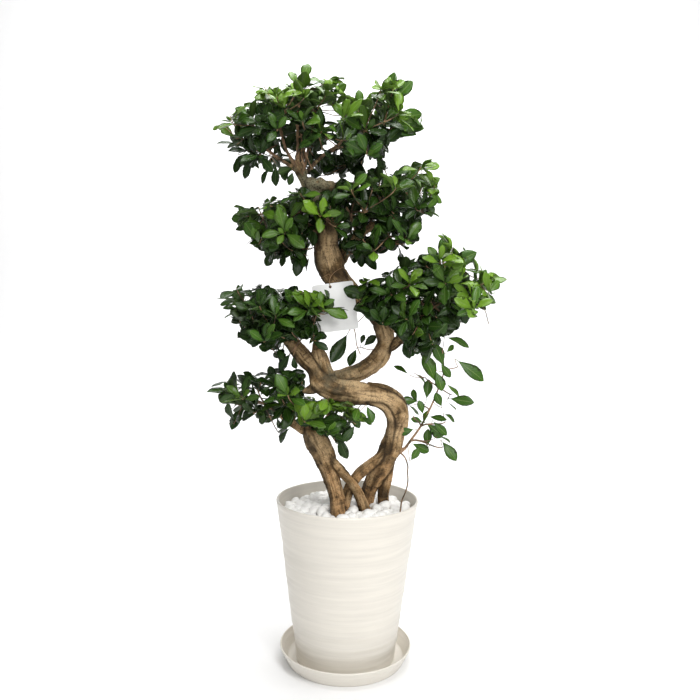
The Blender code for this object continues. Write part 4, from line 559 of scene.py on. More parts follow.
class BanyanColours(bpy.types.PropertyGroup):
    """Colours that a user may change."""

    leaf_dark: colour_property("Dark leaf", "Oldest, shaded leaves", (0.022, 0.063, 0.008))
    leaf_green: colour_property("Green leaf", "Most leaves", (0.050, 0.130, 0.012))
    leaf_young: colour_property("Young leaf", "New leaves at the shoots' ends", (0.145, 0.275, 0.018))
    leaf_under: colour_property("Leaf underside", "Pale underside of a leaf", (0.070, 0.125, 0.030))
    vein: colour_property("Vein", "Midrib and side veins", (0.22, 0.31, 0.08))
    twig: colour_property("Twig", "Young reddish twigs", (0.40, 0.24, 0.13))
    bark_dark: colour_property("Dark bark", "Creases and stained bark", (0.034, 0.021, 0.009))
    bark_tan: colour_property("Tan bark", "Most of the bark", (0.275, 0.167, 0.070))
    bark_pale: colour_property("Pale bark", "Worn and sunlit bark", (0.62, 0.43, 0.23))
    root: colour_property("Root", "Warm bark of the roots", (0.50, 0.285, 0.125))
    moss: colour_property("Moss", "Growth on the healed cut", (0.36, 0.33, 0.21))
    plastic: colour_property("Pot", "White plastic of pot and saucer", (0.775, 0.735, 0.66))
    stone: colour_property("Pebbles", "White tumbled stones", (0.96, 0.95, 0.92))
    soil: colour_property("Soil", "Potting soil under the pebbles", (0.035, 0.022, 0.014))
    card: colour_property("Tag", "Blank card of the tag", (0.96, 0.955, 0.94))
    string: colour_property("String", "Twine of the tag", (0.20, 0.12, 0.06))
    floor: colour_property("Floor", "Pale floor and wall", (0.90, 0.90, 0.90))


def seen(x, z, y):
    """The point at depth y that covers the spot x, z (cm) of the middle plane, seen from EYE."""
    spot = np.array((x * CM, 0.0, z * CM))
    eye = np.array(EYE)
    return eye + (spot - eye) * (1.0 - y * CM / eye[1])


def placed(route):
    """Points and radii, in metres, of a route of x, z as seen, depth y and radius in cm."""
    return np.array([seen(x, z, y) for x, z, y, r in route]), np.array([r * CM for x, z, y, r in route])


def unit(vectors):
    return vectors / np.maximum(np.linalg.norm(vectors, axis=-1, keepdims=True), 1e-12)


def lumps(points, seed, size, waves=20):
    """Smooth noise of about -1 to 1: cosine waves in seeded directions, with lengths round size, added up."""
    draw = np.random.default_rng(seed)
    ways = unit(draw.normal(size=(waves, 3))) * (math.tau / size) * draw.uniform(0.6, 1.6, (waves, 1))
    phase = draw.uniform(0.0, math.tau, waves)
    return np.cos(points @ ways.T + phase).sum(axis=1) / math.sqrt(waves)


def smooth_path(points, radii, step):
    """A curve through the points, sampled about every step, with its radii and its length so far.

    Each stretch is a cubic between two points whose end slopes are those across their neighbours.
    """
    rows = np.column_stack([points, radii])
    knots = np.concatenate([[0.0], np.cumsum(np.linalg.norm(np.diff(points, axis=0), axis=1))])
    slopes = np.gradient(rows, knots, axis=0)
    along = np.linspace(0.0, knots[-1], max(int(knots[-1] / step), 3) + 1)
    k = np.clip(np.searchsorted(knots, along, side="right") - 1, 0, len(knots) - 2)
    span = (knots[k + 1] - knots[k])[:, None]
    t = (along - knots[k])[:, None] / span
    start = (2 * t**3 - 3 * t**2 + 1) * rows[k] + (t**3 - 2 * t**2 + t) * span * slopes[k]
    end = (3 * t**2 - 2 * t**3) * rows[k + 1] + (t**3 - t**2) * span * slopes[k + 1]
    smooth = start + end
    return smooth[:, :3], np.maximum(smooth[:, 3], radii.min() * 0.8), along


def carried_frames(path):
    """Unit directions along, beside and behind each point of a path, carried on without a twist."""
    along = unit(np.gradient(path, axis=0))
    beside = np.empty_like(path)
    start = np.array((0.31, 0.93, 0.2))
    for i, way in enumerate(along):
        start = start - way * (start @ way)
        start = start / np.linalg.norm(start)
        beside[i] = start
    return along, beside, np.cross(along, beside)


def ring_faces(stations, sides):
    """Quads of a grid of rings, closed round, and the triangles to a point at each end.

    The two end points follow the rings: first the start's, then the end's.
    """
    i, j = np.meshgrid(np.arange(stations - 1), np.arange(sides), indexing="ij")
    after = (j + 1) % sides
    quads = np.stack([i * sides + j, i * sides + after, (i + 1) * sides + after, (i + 1) * sides + j], -1)
    k = np.arange(sides)
    after = (k + 1) % sides
    first, last = stations * sides, stations * sides + 1
    low = np.stack([np.full(sides, first), after, k], -1)
    base = (stations - 1) * sides
    high = np.stack([np.full(sides, last), base + k, base + after], -1)
    return quads.reshape(-1, 4), np.concatenate([low, high])


def tube_skin(path, radii, sides, relief=None):
    """A closed skin round a path: rings of the path's radius times 1 + relief, and a point at each end."""
    along, beside, behind = carried_frames(path)
    turn = np.linspace(0.0, math.tau, sides, endpoint=False)
    out = np.cos(turn)[:, None] * beside[:, None] + np.sin(turn)[:, None] * behind[:, None]
    reach = radii[:, None] * np.ones(sides)
    if relief is not None:
        reach = reach * (1.0 + relief(len(path), turn))
    points = path[:, None] + out * reach[..., None]
    ends = [path[0] - along[0] * radii[0] * 0.4, path[-1] + along[-1] * radii[-1] * 0.4]
    return np.concatenate([points.reshape(-1, 3), ends]), *ring_faces(len(path), sides)


def gathered(skins):
    """Several skins as one: points, quads and triangles, counted on from skin to skin."""
    points, quads, triangles, count = [], [], [], 0
    for skin in skins:
        points.append(skin[0])
        quads.append(skin[1] + count)
        triangles.append(skin[2] + count)
        count += len(skin[0])
    return np.concatenate(points), np.concatenate(quads), np.concatenate(triangles)


def new_piece(name, skin, materials, smooth=True):
    """A mesh object of points, quads and triangles, at the origin, with its material slots."""
    points, quads, triangles = skin
    data = bpy.data.meshes.new(name)
    data.vertices.add(len(points))
    data.vertices.foreach_set("co", np.ascontiguousarray(points, np.float32).ravel())
    corners = np.concatenate([quads.ravel(), triangles.ravel()]).astype(np.int32)
    sizes = np.concatenate([np.full(len(quads), 4), np.full(len(triangles), 3)])
    starts = np.concatenate([[0], np.cumsum(sizes)[:-1]]).astype(np.int32)
    data.loops.add(len(corners))
    data.loops.foreach_set("vertex_index", corners)
    data.polygons.add(len(sizes))
    data.polygons.foreach_set("loop_start", starts)
    data.update(calc_edges=True)
    data.validate()
    data.polygons.foreach_set("use_smooth", np.full(len(sizes), smooth))
    for material in materials:
        data.materials.append(material)
    piece = bpy.data.objects.new(name, data)
    bpy.context.scene.collection.objects.link(piece)
    return piece


def stands_for(piece, slot, *nodes):
    """The piece rides on the one body and replaces these nodes; slot is not used."""
    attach(piece, "root")
    if nodes:
        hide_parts(*nodes)


def set_values(data, name, values, domain="POINT"):
    layer = data.attributes.new(name, "FLOAT", domain)
    layer.data.foreach_set("value", np.ascontiguousarray(values, np.float32))


def point_array(data):
    points = np.empty(len(data.vertices) * 3, np.float32)
    data.vertices.foreach_get("co", points)
    return points.reshape(-1, 3).astype(float)


def normal_array(data):
    normals = np.empty(len(data.vertices) * 3, np.float32)
    data.vertices.foreach_get("normal", normals)
    return normals.reshape(-1, 3).astype(float)


def applied(piece):
    """Applies the piece's modifiers to its mesh."""
    graph = bpy.context.evaluated_depsgraph_get()
    data = bpy.data.meshes.new_from_object(piece.evaluated_get(graph))
    piece.modifiers.clear()
    old = piece.data
    piece.data = data
    data.name = old.name
    bpy.data.meshes.remove(old)


def new_material(name, roughness, **constants):
    """A material, its node tree and its shader, with constant values on the shader's own sockets."""
    material = bpy.data.materials.new(name)
    material.use_nodes = True
    shader = material.node_tree.nodes["Principled BSDF"]
    shader.inputs["Roughness"].default_value = roughness
    for socket, value in constants.items():
        shader.inputs[socket.replace("_", " ")].default_value = value
    return material, material.node_tree, shader


def add_node(tree, kind, inputs, **settings):
    """A new node with its settings; each input is a value or the output that feeds it."""
    node = tree.nodes.new(kind)
    for key, value in settings.items():
        setattr(node, key, value)
    for key, value in inputs.items():
        if isinstance(value, bpy.types.NodeSocket):
            tree.links.new(value, node.inputs[key])
        else:
            node.inputs[key].default_value = value
    return node


def rgba(colour):
    return (*colour, 1.0)


def mixed(tree, share, first, second, kind="MIX"):
    """The colour that share mixes from first to second."""
    node = tree.nodes.new("ShaderNodeMix")
    node.data_type = "RGBA"
    node.blend_type = kind
    for index, value in ((0, share), (6, first), (7, second)):
        if isinstance(value, bpy.types.NodeSocket):
            tree.links.new(value, node.inputs[index])
        else:
            node.inputs[index].default_value = value
    return node.outputs[2]


def stepped(tree, value, low, high, to_low=0.0, to_high=1.0):
    """The value eased from low..high to to_low..to_high."""
    inputs = {"Value": value, "From Min": low, "From Max": high, "To Min": to_low, "To Max": to_high}
    return add_node(tree, "ShaderNodeMapRange", inputs, interpolation_type="SMOOTHSTEP").outputs[0]


def calculated(tree, operation, first, second=0.0):
    return add_node(tree, "ShaderNodeMath", {0: first, 1: second}, operation=operation).outputs[0]


def noise(tree, place, scale, detail=4.0, roughness=0.55):
    inputs = {"Vector": place, "Scale": scale, "Detail": detail, "Roughness": roughness}
    return add_node(tree, "ShaderNodeTexNoise", inputs).outputs["Fac"]


def object_place(tree, scale=(1.0, 1.0, 1.0)):
    """Object coordinates, stretched by scale."""
    place = tree.nodes.new("ShaderNodeTexCoord").outputs["Object"]
    return add_node(tree, "ShaderNodeMapping", {"Vector": place, "Scale": scale}).outputs[0]


def value_of(tree, name):
    return add_node(tree, "ShaderNodeAttribute", {}, attribute_name=name).outputs["Fac"]


def add_bump(tree, shader, height, depth, strength=1.0):
    inputs = {"Height": height, "Distance": depth, "Strength": strength}
    tree.links.new(add_node(tree, "ShaderNodeBump", inputs).outputs[0], shader.inputs["Normal"])


def leaf_material(colours):
    """Leaf: green by age and painted light, paler below, with a pale midrib and faint side veins by the blade's own
    map, darkened by painted shade.
    """
    material, tree, shader = new_material("leaf_blade", 0.34, Specular_IOR_Level=0.30)
    flat = add_node(tree, "ShaderNodeUVMap", {}, uv_map="blade").outputs[0]
    split = add_node(tree, "ShaderNodeSeparateXYZ", {"Vector": flat})
    side = calculated(tree, "ABSOLUTE", calculated(tree, "SUBTRACT", split.outputs[0], 0.5))
    rib = stepped(tree, side, 0.012, 0.045, 1.0, 0.0)
    slant = calculated(tree, "SUBTRACT", split.outputs[1], calculated(tree, "MULTIPLY", side, 0.42))
    wave = calculated(tree, "SINE", calculated(tree, "MULTIPLY", slant, 66.0))
    vein = stepped(tree, wave, 0.72, 1.0)
    age_and_light = value_of(tree, "young")
    place = object_place(tree)
    cloud = noise(tree, place, 90.0, 3.0)
    # The age value also carries painted light: leaves in the open are pushed towards the young green.
    green = mixed(tree, stepped(tree, age_and_light, 0.0, 0.45), rgba(colours.leaf_dark), rgba(colours.leaf_green))
    green = mixed(tree, stepped(tree, age_and_light, 0.35, 0.95), green, rgba(colours.leaf_young))
    green = mixed(tree, stepped(tree, cloud, 0.35, 0.75, 0.0, 0.30), green, rgba(colours.leaf_dark))
    green = mixed(tree, calculated(tree, "MULTIPLY", vein, 0.13), green, rgba(colours.vein))
    under = mixed(tree, stepped(tree, age_and_light, 0.3, 1.0, 0.0, 0.7), rgba(colours.leaf_under), rgba(colours.leaf_young))
    green = mixed(tree, value_of(tree, "under"), green, under)
    green = mixed(tree, calculated(tree, "MULTIPLY", rib, 0.45), green, rgba(colours.vein))
    # Painted shade: each leaf is mixed towards a dark green by its shade value.
    painted_shade_colour = tuple(0.35 * value for value in colours.leaf_dark)
    green = mixed(tree, calculated(tree, "MULTIPLY", value_of(tree, "shade"), 0.72), green, rgba(painted_shade_colour))
    tree.links.new(green, shader.inputs["Base Color"])
    rough = stepped(tree, value_of(tree, "under"), 0.0, 1.0, 0.27, 0.55)
    tree.links.new(rough, shader.inputs["Roughness"])
    relief = calculated(tree, "ADD", calculated(tree, "MULTIPLY", vein, -0.4), calculated(tree, "MULTIPLY", rib, -1.0))
    add_bump(tree, shader, relief, 0.0003, 0.6)
    return material


def twig_material(colours):
    """Twig: reddish tan with darker and paler blotches and fine rings."""
    material, tree, shader = new_material("twig", 0.7)
    place = object_place(tree)
    cloud = noise(tree, place, 60.0)
    colour = mixed(tree, stepped(tree, cloud, 0.35, 0.7), rgba(colours.bark_dark), rgba(colours.twig))
    colour = mixed(tree, stepped(tree, noise(tree, place, 260.0), 0.5, 0.8, 0.0, 0.6), colour, rgba(colours.bark_tan))
    tree.links.new(colour, shader.inputs["Base Color"])
    add_bump(tree, shader, noise(tree, place, 420.0), 0.0004)
    return material


def bark_material(colours):
    """Bark: tan with stains and pale worn spots, thin rings and fine folds along each stem, painted shade in creases
    and the folds' hollows, painted highlight on the folds' crests, mossy cut.

    Rings and folds are noise in the piece's own map round its stems, drawn out round or along them.
    """
    material, tree, shader = new_material("bark", 0.74, Specular_IOR_Level=0.25)
    place = object_place(tree)
    stem = add_node(tree, "ShaderNodeAttribute", {}, attribute_name="stem_place").outputs["Vector"]
    round_it = add_node(tree, "ShaderNodeMapping", {"Vector": stem, "Scale": (42.0, 42.0, 360.0)}).outputs[0]
    along_it = add_node(tree, "ShaderNodeMapping", {"Vector": stem, "Scale": (190.0, 190.0, 26.0)}).outputs[0]
    wide = noise(tree, place, 24.0, 5.0, 0.6)
    fine = noise(tree, place, 130.0, 5.0, 0.65)
    rings = noise(tree, round_it, 1.0, 4.0, 0.6)
    folds = noise(tree, along_it, 1.0, 4.0, 0.6)
    specks = noise(tree, place, 420.0, 3.0, 0.7)
    colour = mixed(tree, stepped(tree, wide, 0.42, 0.60), rgba(colours.bark_tan), rgba(colours.bark_pale))
    colour = mixed(tree, value_of(tree, "root"), colour, rgba(colours.root))
    colour = mixed(tree, value_of(tree, "pale"), colour, rgba(colours.bark_pale))
    colour = mixed(tree, stepped(tree, wide, 0.34, 0.48, 0.80, 0.0), colour, rgba(colours.bark_dark))
    # Painted shade in the hollows of the folds.
    colour = mixed(tree, stepped(tree, folds, 0.36, 0.50, 0.62, 0.0), colour, rgba(colours.bark_dark))
    ringed = calculated(tree, "MULTIPLY", stepped(tree, rings, 0.34, 0.48, 0.75, 0.0), stepped(tree, wide, 0.42, 0.60, 1.0, 0.2))
    colour = mixed(tree, ringed, colour, rgba(colours.bark_dark))
    # Painted highlight on the crests of the folds.
    colour = mixed(tree, stepped(tree, folds, 0.54, 0.68, 0.0, 0.45), colour, rgba(colours.bark_pale))
    # Painted shade in creases, where stems meet and on the side away from the light, with the dark spots.
    colour = mixed(tree, value_of(tree, "crease"), colour, rgba(colours.bark_dark))
    colour = mixed(tree, stepped(tree, specks, 0.34, 0.47, 0.75, 0.0), colour, rgba(colours.bark_dark))
    grown = calculated(tree, "MULTIPLY", value_of(tree, "moss"), stepped(tree, fine, 0.32, 0.48))
    colour = mixed(tree, grown, colour, rgba(colours.moss))
    pits = calculated(tree, "MULTIPLY", value_of(tree, "moss"), stepped(tree, specks, 0.42, 0.50, 0.75, 0.0))
    colour = mixed(tree, pits, colour, rgba(colours.bark_dark))
    tree.links.new(colour, shader.inputs["Base Color"])
    height = calculated(tree, "ADD", calculated(tree, "MULTIPLY", folds, 1.2), calculated(tree, "MULTIPLY", rings, 0.9))
    height = calculated(tree, "ADD", height, calculated(tree, "MULTIPLY", fine, 0.5))
    add_bump(tree, shader, height, 0.0024)
    return material


def plastic_material(name, colours, marks):
    """Satin white plastic: a warm cast, faint uneven gloss, fine brushed lines round it, darker where they sink."""
    material, tree, shader = new_material(name, 0.42, Specular_IOR_Level=0.45)
    place = object_place(tree, (7.0, 7.0, 160.0))
    lines = noise(tree, place, 1.0, 5.0, 0.6)
    cloud = noise(tree, object_place(tree), 9.0, 3.0)
    shade = tuple(0.80 * value for value in colours.plastic)
    colour = mixed(tree, stepped(tree, lines, 0.25, 0.75, marks, 0.0), rgba(colours.plastic), rgba(shade))
    colour = mixed(tree, stepped(tree, cloud, 0.4, 0.7, 0.0, 0.12), colour, rgba(shade))
    tree.links.new(colour, shader.inputs["Base Color"])
    tree.links.new(stepped(tree, lines, 0.2, 0.8, 0.50, 0.36), shader.inputs["Roughness"])
    add_bump(tree, shader, lines, 0.0005 * marks)
    return material


def stone_material(colours):
    """Pebble: chalky white, a little different from stone to stone, with faint grey veins and pits."""
    material, tree, shader = new_material("pebble", 0.55)
    place = object_place(tree)
    cloud = noise(tree, place, 70.0, 5.0)
    tone = value_of(tree, "tone")
    grey = (0.60, 0.59, 0.57, 1.0)
    colour = mixed(tree, calculated(tree, "MULTIPLY", tone, 0.18), rgba(colours.stone), grey)
    colour = mixed(tree, stepped(tree, cloud, 0.55, 0.70, 0.0, 0.3), colour, grey)
    tree.links.new(colour, shader.inputs["Base Color"])
    add_bump(tree, shader, noise(tree, place, 900.0), 0.0003)
    return material


def soil_material(colours):
    """Soil: dark crumbs with paler bits."""
    material, tree, shader = new_material("potting_soil", 0.95)
    place = object_place(tree)
    crumbs = noise(tree, place, 260.0, 6.0, 0.7)
    paler = tuple(3.0 * value for value in colours.soil)
    colour = mixed(tree, stepped(tree, crumbs, 0.45, 0.7), rgba(colours.soil), rgba(paler))
    tree.links.new(colour, shader.inputs["Base Color"])
    add_bump(tree, shader, crumbs, 0.002)
    return material


def card_material(colours):
    """Blank card: matt, with fine paper fibres and a slightly soiled edge."""
    material, tree, shader = new_material("tag_card", 0.62)
    place = object_place(tree)
    fibres = noise(tree, place, 700.0, 4.0)
    cloud = noise(tree, place, 40.0, 3.0)
    shade = tuple(0.86 * value for value in colours.card)
    colour = mixed(tree, stepped(tree, cloud, 0.4, 0.75, 0.0, 0.6), rgba(colours.card), rgba(shade))
    tree.links.new(colour, shader.inputs["Base Color"])
    add_bump(tree, shader, fibres, 0.0001)
    return material


def string_material(colours):
    """Twine: brown with a twist of darker lines by its own map."""
    material, tree, shader = new_material("twine", 0.85)
    flat = add_node(tree, "ShaderNodeUVMap", {}, uv_map="twist").outputs[0]
    split = add_node(tree, "ShaderNodeSeparateXYZ", {"Vector": flat})
    slant = calculated(tree, "ADD", split.outputs[0], calculated(tree, "MULTIPLY", split.outputs[1], 2.0))
    wave = calculated(tree, "SINE", calculated(tree, "MULTIPLY", slant, math.tau))
    pale = tuple(min(2.2 * value, 1.0) for value in colours.string)
    colour = mixed(tree, stepped(tree, wave, -0.6, 0.8), rgba(colours.string), rgba(pale))
    tree.links.new(colour, shader.inputs["Base Color"])
    add_bump(tree, shader, wave, 0.0002)
    return material


def stage_material(colours):
    """Pale matt floor and wall with a barely uneven tone."""
    material, tree, shader = new_material("studio_floor", 0.9, Specular_IOR_Level=0.1)
    cloud = noise(tree, object_place(tree), 1.4, 2.0)
    shade = tuple(0.985 * value for value in colours.floor)
    tree.links.new(mixed(tree, cloud, rgba(colours.floor), rgba(shade)), shader.inputs["Base Color"])
    return material


LEAF_STATIONS = np.array((0.0, 0.13, 0.25, 0.42, 0.60, 0.76, 0.90, 0.97))
LEAF_ACROSS = np.array((1.0, 0.5, 0.0, -0.5, -1.0, 0.0))
LEAF_LIFT = np.array((0.0, 0.45, 0.15, 0.45, 0.0, -0.55))
STALK_SHARE = 0.13
STALK_WIDTH = 0.05


def leaf_outline(v):
    """Half-width of a leaf at v: a thin stalk, then a sine drawn out so that it is widest past the middle."""
    q = np.clip((v - STALK_SHARE) / (1.0 - STALK_SHARE), 0.0, 1.0)
    return np.maximum(np.sin(math.pi * q**1.27) ** 0.8, STALK_WIDTH * (v < 0.9))


def leaf_skin(rows, thickness):
    """Many leaves as one skin, with each point's place on its blade, age with painted light and painted shade, and each
    face's side.

    A leaf is rings of six points along an arc that bends away from its face; a ring is as wide as the
    outline there, its edges lifted to a shallow fold, waved a little and turned by the leaf's twist.
    """
    root, along, face = (np.array([row[key] for row in rows]) for key in ("root", "along", "face"))
    length, width, bend, fold, twist, young, shade, phase = (
        np.array([row[key] for row in rows])[:, None]
        for key in ("length", "width", "bend", "fold", "twist", "young", "shade", "phase")
    )
    v = np.append(LEAF_STATIONS, 1.0)
    angle = bend * v
    forward = length * np.sin(angle) / bend
    drop = length * (1.0 - np.cos(angle)) / bend
    middle = root[:, None] + along[:, None] * forward[..., None] - face[:, None] * drop[..., None]
    across = np.cross(face, along)[:, None] * np.ones((1, len(v), 1))
    above = face[:, None] * np.cos(angle)[..., None] + along[:, None] * np.sin(angle)[..., None]
    turn = (twist * v)[..., None]
    across, above = across * np.cos(turn) + above * np.sin(turn), above * np.cos(turn) - across * np.sin(turn)
    half = leaf_outline(v) * width / 2
    u = np.abs(LEAF_ACROSS)
    wave = 0.10 * np.sin(math.tau * 1.6 * v + phase)[..., None] * u**2
    lift = half[..., None] * (fold[..., None] * u**1.4 + wave)
    lift = lift + thickness * LEAF_LIFT * np.clip(half / width * 3.0, 0.5, 1.0)[..., None]
    points = (
        middle[:, :, None]
        + across[:, :, None] * (half[..., None] * LEAF_ACROSS)[..., None]
        + above[:, :, None] * lift[..., None]
    )
    rings, sides = len(LEAF_STATIONS), len(LEAF_ACROSS)
    ends = np.stack([root, middle[:, -1]], 1)
    leaves = np.concatenate([points[:, :rings].reshape(len(rows), -1, 3), ends], 1)
    quads, triangles = ring_faces(rings, sides)
    size = rings * sides + 2
    base = np.arange(len(rows))[:, None, None] * size
    place = np.stack(np.broadcast_arrays(LEAF_ACROSS / 2 + 0.5, LEAF_STATIONS[:, None]), -1).reshape(-1, 2)
    place = np.concatenate([place, [(0.5, 0.0), (0.5, 1.0)]])
    below_quads = np.tile(np.arange(sides) >= 4, rings - 1)
    below_triangles = np.tile(np.arange(sides) >= 4, 2)
    return {
        "skin": (leaves.reshape(-1, 3), (quads + base).reshape(-1, 4), (triangles + base).reshape(-1, 3)),
        "place": np.tile(place, (len(rows), 1)),
        "below": (np.tile(below_quads, len(rows)), np.tile(below_triangles, len(rows))),
        "young": np.repeat(young[:, 0], size),
        "shade": np.repeat(shade[:, 0], size),
    }


def way_of(points, back):
    """The place and heading this far back from a path's end."""
    steps = np.linalg.norm(np.diff(points, axis=0), axis=1)
    left = np.concatenate([np.cumsum(steps[::-1])[::-1], [0.0]])
    i = min(max(int(np.searchsorted(-left, -back)), 1), len(points) - 1)
    share = (left[i - 1] - back) / max(steps[i - 1], 1e-9)
    heading = unit(points[i] - points[i - 1])
    return points[i - 1] + (points[i] - points[i - 1]) * min(max(share, 0.0), 1.0), heading


def bend_between(start, heading, end, count):
    """A cubic bend that leaves start along heading and rises a little into end."""
    span = np.linalg.norm(end - start)
    first = start + heading * span * 0.38
    last = end - unit(end - start) * span * 0.22 - UP * span * 0.12
    t = np.linspace(0.0, 1.0, count)[:, None]
    s = 1.0 - t
    return s**3 * start + 3 * s * s * t * first + 3 * s * t * t * last + t**3 * end


TWIG_END_R = 0.0011
FORK = 0.0065
STALK_STEP = 0.0040
LEAF_TRIES = 7


def spray_wood(branch, tips):
    """The stem and side twigs of a spray, from its branch's end to its tips: paths and radii."""
    ends, radii = placed([branch[0], *branch[2:]])
    heading = unit(ends[-1] - ends[-2])
    step = ends[-1] + heading * STALK_STEP
    wood = []
    for i, tip in enumerate(tips):
        aim = seen(*tip)
        if i == 0:
            path = np.concatenate([[ends[-1] - heading * 0.002], bend_between(step, heading, aim, 12)])
            thick = radii[-1]
        else:
            stem = wood[0][0]
            total = np.linalg.norm(np.diff(stem, axis=0), axis=1).sum()
            root, way = way_of(stem, total - FORK * (i + 1) / 2)
            path = bend_between(root, (way + unit(aim - root)) / 2, aim, 11)
            thick = radii[-1] * 0.7
        share = np.linspace(0.0, 1.0, len(path))
        wood.append((path, thick + (TWIG_END_R - thick) * share))
    return wood


def tilted(axis, turn, tilt):
    """A direction at this tilt from the axis, this far round it, and the upper face of a leaf there."""
    beside = unit(np.cross(axis, (0.31, 0.93, 0.2)))
    side = beside * math.cos(turn) + np.cross(axis, beside) * math.sin(turn)
    return axis * math.cos(tilt) + side * math.sin(tilt), axis * math.sin(tilt) - side * math.cos(tilt)


def leaf_row(root, along, face, size, young, draw, sizes):
    """One leaf's numbers, with its small seeded differences."""
    face = unit(face - along * (face @ along))
    roll = draw.normal(0.0, 0.28)
    face = face * math.cos(roll) + np.cross(along, face) * math.sin(roll)
    return {
        "root": root, "along": along, "face": face,
        "length": sizes.leaf_length * size,
        "width": sizes.leaf_width * size * draw.uniform(0.88, 1.12),
        "bend": draw.uniform(0.10, 0.70), "fold": draw.uniform(0.08, 0.40),
        "twist": draw.normal(0.0, 0.20), "young": young, "shade": 0.0, "phase": draw.uniform(0.0, math.tau),
    }


def as_seen(points):
    """Which spots x, z (cm) of the middle plane the points cover, seen from EYE."""
    eye = np.array(EYE)
    share = eye[1] / (eye[1] - points[..., 1])
    return (eye + (points - eye) * share[..., None])[..., (0, 2)] / CM


def enclosed(spots, outline):
    """Which spots lie in the outline: those from which a level line crosses it an odd number of times."""
    ends = np.array(outline)
    starts = np.roll(ends, 1, axis=0)
    x, z = spots[:, :1], spots[:, 1:]
    spans = (starts[:, 1] > z) != (ends[:, 1] > z)
    rise = ends[:, 1] - starts[:, 1]
    cross = starts[:, 0] + (z - starts[:, 1]) * (ends[:, 0] - starts[:, 0]) / np.where(rise == 0.0, 1e-9, rise)
    return (spans & (x < cross)).sum(axis=1) % 2 == 1


def freshness(root):
    """How new the leaves round this spot are: most at the bright shoots, seen from the front."""
    away = np.linalg.norm(np.array(BRIGHT) - as_seen(root), axis=1)
    return float(np.exp(-(away / 2.9) ** 2).max())


class Room:
    """What a leaf must keep clear of: stems, card, box of the solids, views of the wood and other leaves."""

    def __init__(self, stems, card):
        self.stems = np.concatenate([path for path, radii in stems])
        self.reach = np.concatenate([radii for path, radii in stems]) + 0.002
        self.card = card
        self.middles = np.full((6000, 3), 9.0)
        self.count = 1

    def fault(self, row, outline):
        """How badly a leaf crosses what it should clear: 0 if it has room."""
        share = np.array((0.35, 0.6, 0.8, 1.0))[:, None]
        line = row["root"] + row["along"] * row["length"] * share
        line = line - row["face"] * row["length"] * row["bend"] * 0.5 * share**2
        gap = np.linalg.norm(line[:, None] - self.stems, axis=2) - self.reach
        sunk = np.clip(-gap.min(axis=1), 0.0, None).sum() * 40.0
        spare = 0.0035
        out = np.clip(line - (CAD_BOX[1] - spare), 0, None) + np.clip(CAD_BOX[0] + spare - line, 0, None)
        inside = np.all(np.abs(line - self.card[0]) - self.card[1] < 0.004, axis=1).sum() * 0.6
        away = np.linalg.norm(self.middles[:self.count] - line[1], axis=1)
        crowd = np.clip(0.009 - away, 0.0, None).sum() * 20.0
        spots = as_seen(line)
        beyond = (~enclosed(spots, outline)).sum() * 0.35 if outline else 0.0
        x, z = spots[:, :1], spots[:, 1:]
        shut = (x > VIEWS[:, 0]) & (x < VIEWS[:, 1]) & (z > VIEWS[:, 2]) & (z < VIEWS[:, 3])
        hides = (shut & (line[:, 1:2] < VIEWS[:, 4])).sum() * 0.5
        return sunk + out.sum() * 150.0 + inside + crowd + beyond + hides

    def best(self, rows, outline=None, most=0.9):
        """The row with the least fault; None if even that is over most."""
        faults = [self.fault(row, outline) for row in rows]
        if min(faults) > most:
            return None
        chosen = rows[int(np.argmin(faults))]
        self.take(chosen)
        return chosen

    def take(self, row):
        """Notes a leaf that stands, so that others keep off it."""
        self.middles[self.count] = row["root"] + row["along"] * row["length"] * 0.6
        self.count += 1


def rosette(path, outward, outline, draw, room, sizes, count, size=1.0):
    """The leaves at a shoot's end in a spiral: small and steep in the middle, larger and flatter below."""
    tip, heading = way_of(path, 0.0)
    axis = unit(heading * 0.8 + outward * 0.7 + UP * 0.55)
    start = draw.uniform(0.0, math.tau)
    fresh = freshness(tip)
    rows = []
    for i in range(count):
        share = i / max(count - 1, 1)
        root, way = way_of(path, 0.0015 * i)
        scale = size * (0.45 + 0.60 * min(share * 2.4, 1.0)) * draw.uniform(0.86, 1.14)
        young = 0.12 + draw.normal(0.0, 0.15) + 0.70 * fresh + 0.24 * (1.0 - share)
        tries = []
        for attempt in range(LEAF_TRIES):
            turn = start + GOLDEN_TURN * i + draw.normal(0.0, 0.12 + 0.5 * attempt)
            tilt = math.radians(16.0 + 58.0 * share**0.7 + draw.normal(0.0, 9.0))
            along, face = tilted(axis, turn, tilt)
            along = unit(along + UP * 0.12)
            face = unit(face + UP * 0.30 + np.array((0.0, -0.10, 0.0)))
            tries.append(leaf_row(root, along, face, scale, min(max(young, 0.0), 1.0), draw, sizes))
        rows.append(room.best(tries, outline))
    return [row for row in rows if row]


def side_leaves(path, count, start, outline, draw, room, sizes, size=1.0):
    """Single leaves along a shoot, on alternate sides, from this share of it on."""
    rows = []
    total = np.linalg.norm(np.diff(path, axis=0), axis=1).sum()
    for i in range(count):
        share = start + (0.80 - start) * (i + draw.uniform(0.2, 0.8)) / count
        root, way = way_of(path, total * (1.0 - share))
        tries = []
        for attempt in range(LEAF_TRIES):
            along, face = tilted(way, draw.uniform(0.0, math.tau), math.radians(draw.uniform(48.0, 85.0)))
            face = unit(face + UP * 0.5)
            young = min(max(draw.normal(0.06, 0.05) + 0.3 * freshness(root), 0.0), 1.0)
            tries.append(leaf_row(root, along, face, size * draw.uniform(0.85, 1.1), young, draw, sizes))
        rows.append(room.best(tries, outline))
    return [row for row in rows if row]


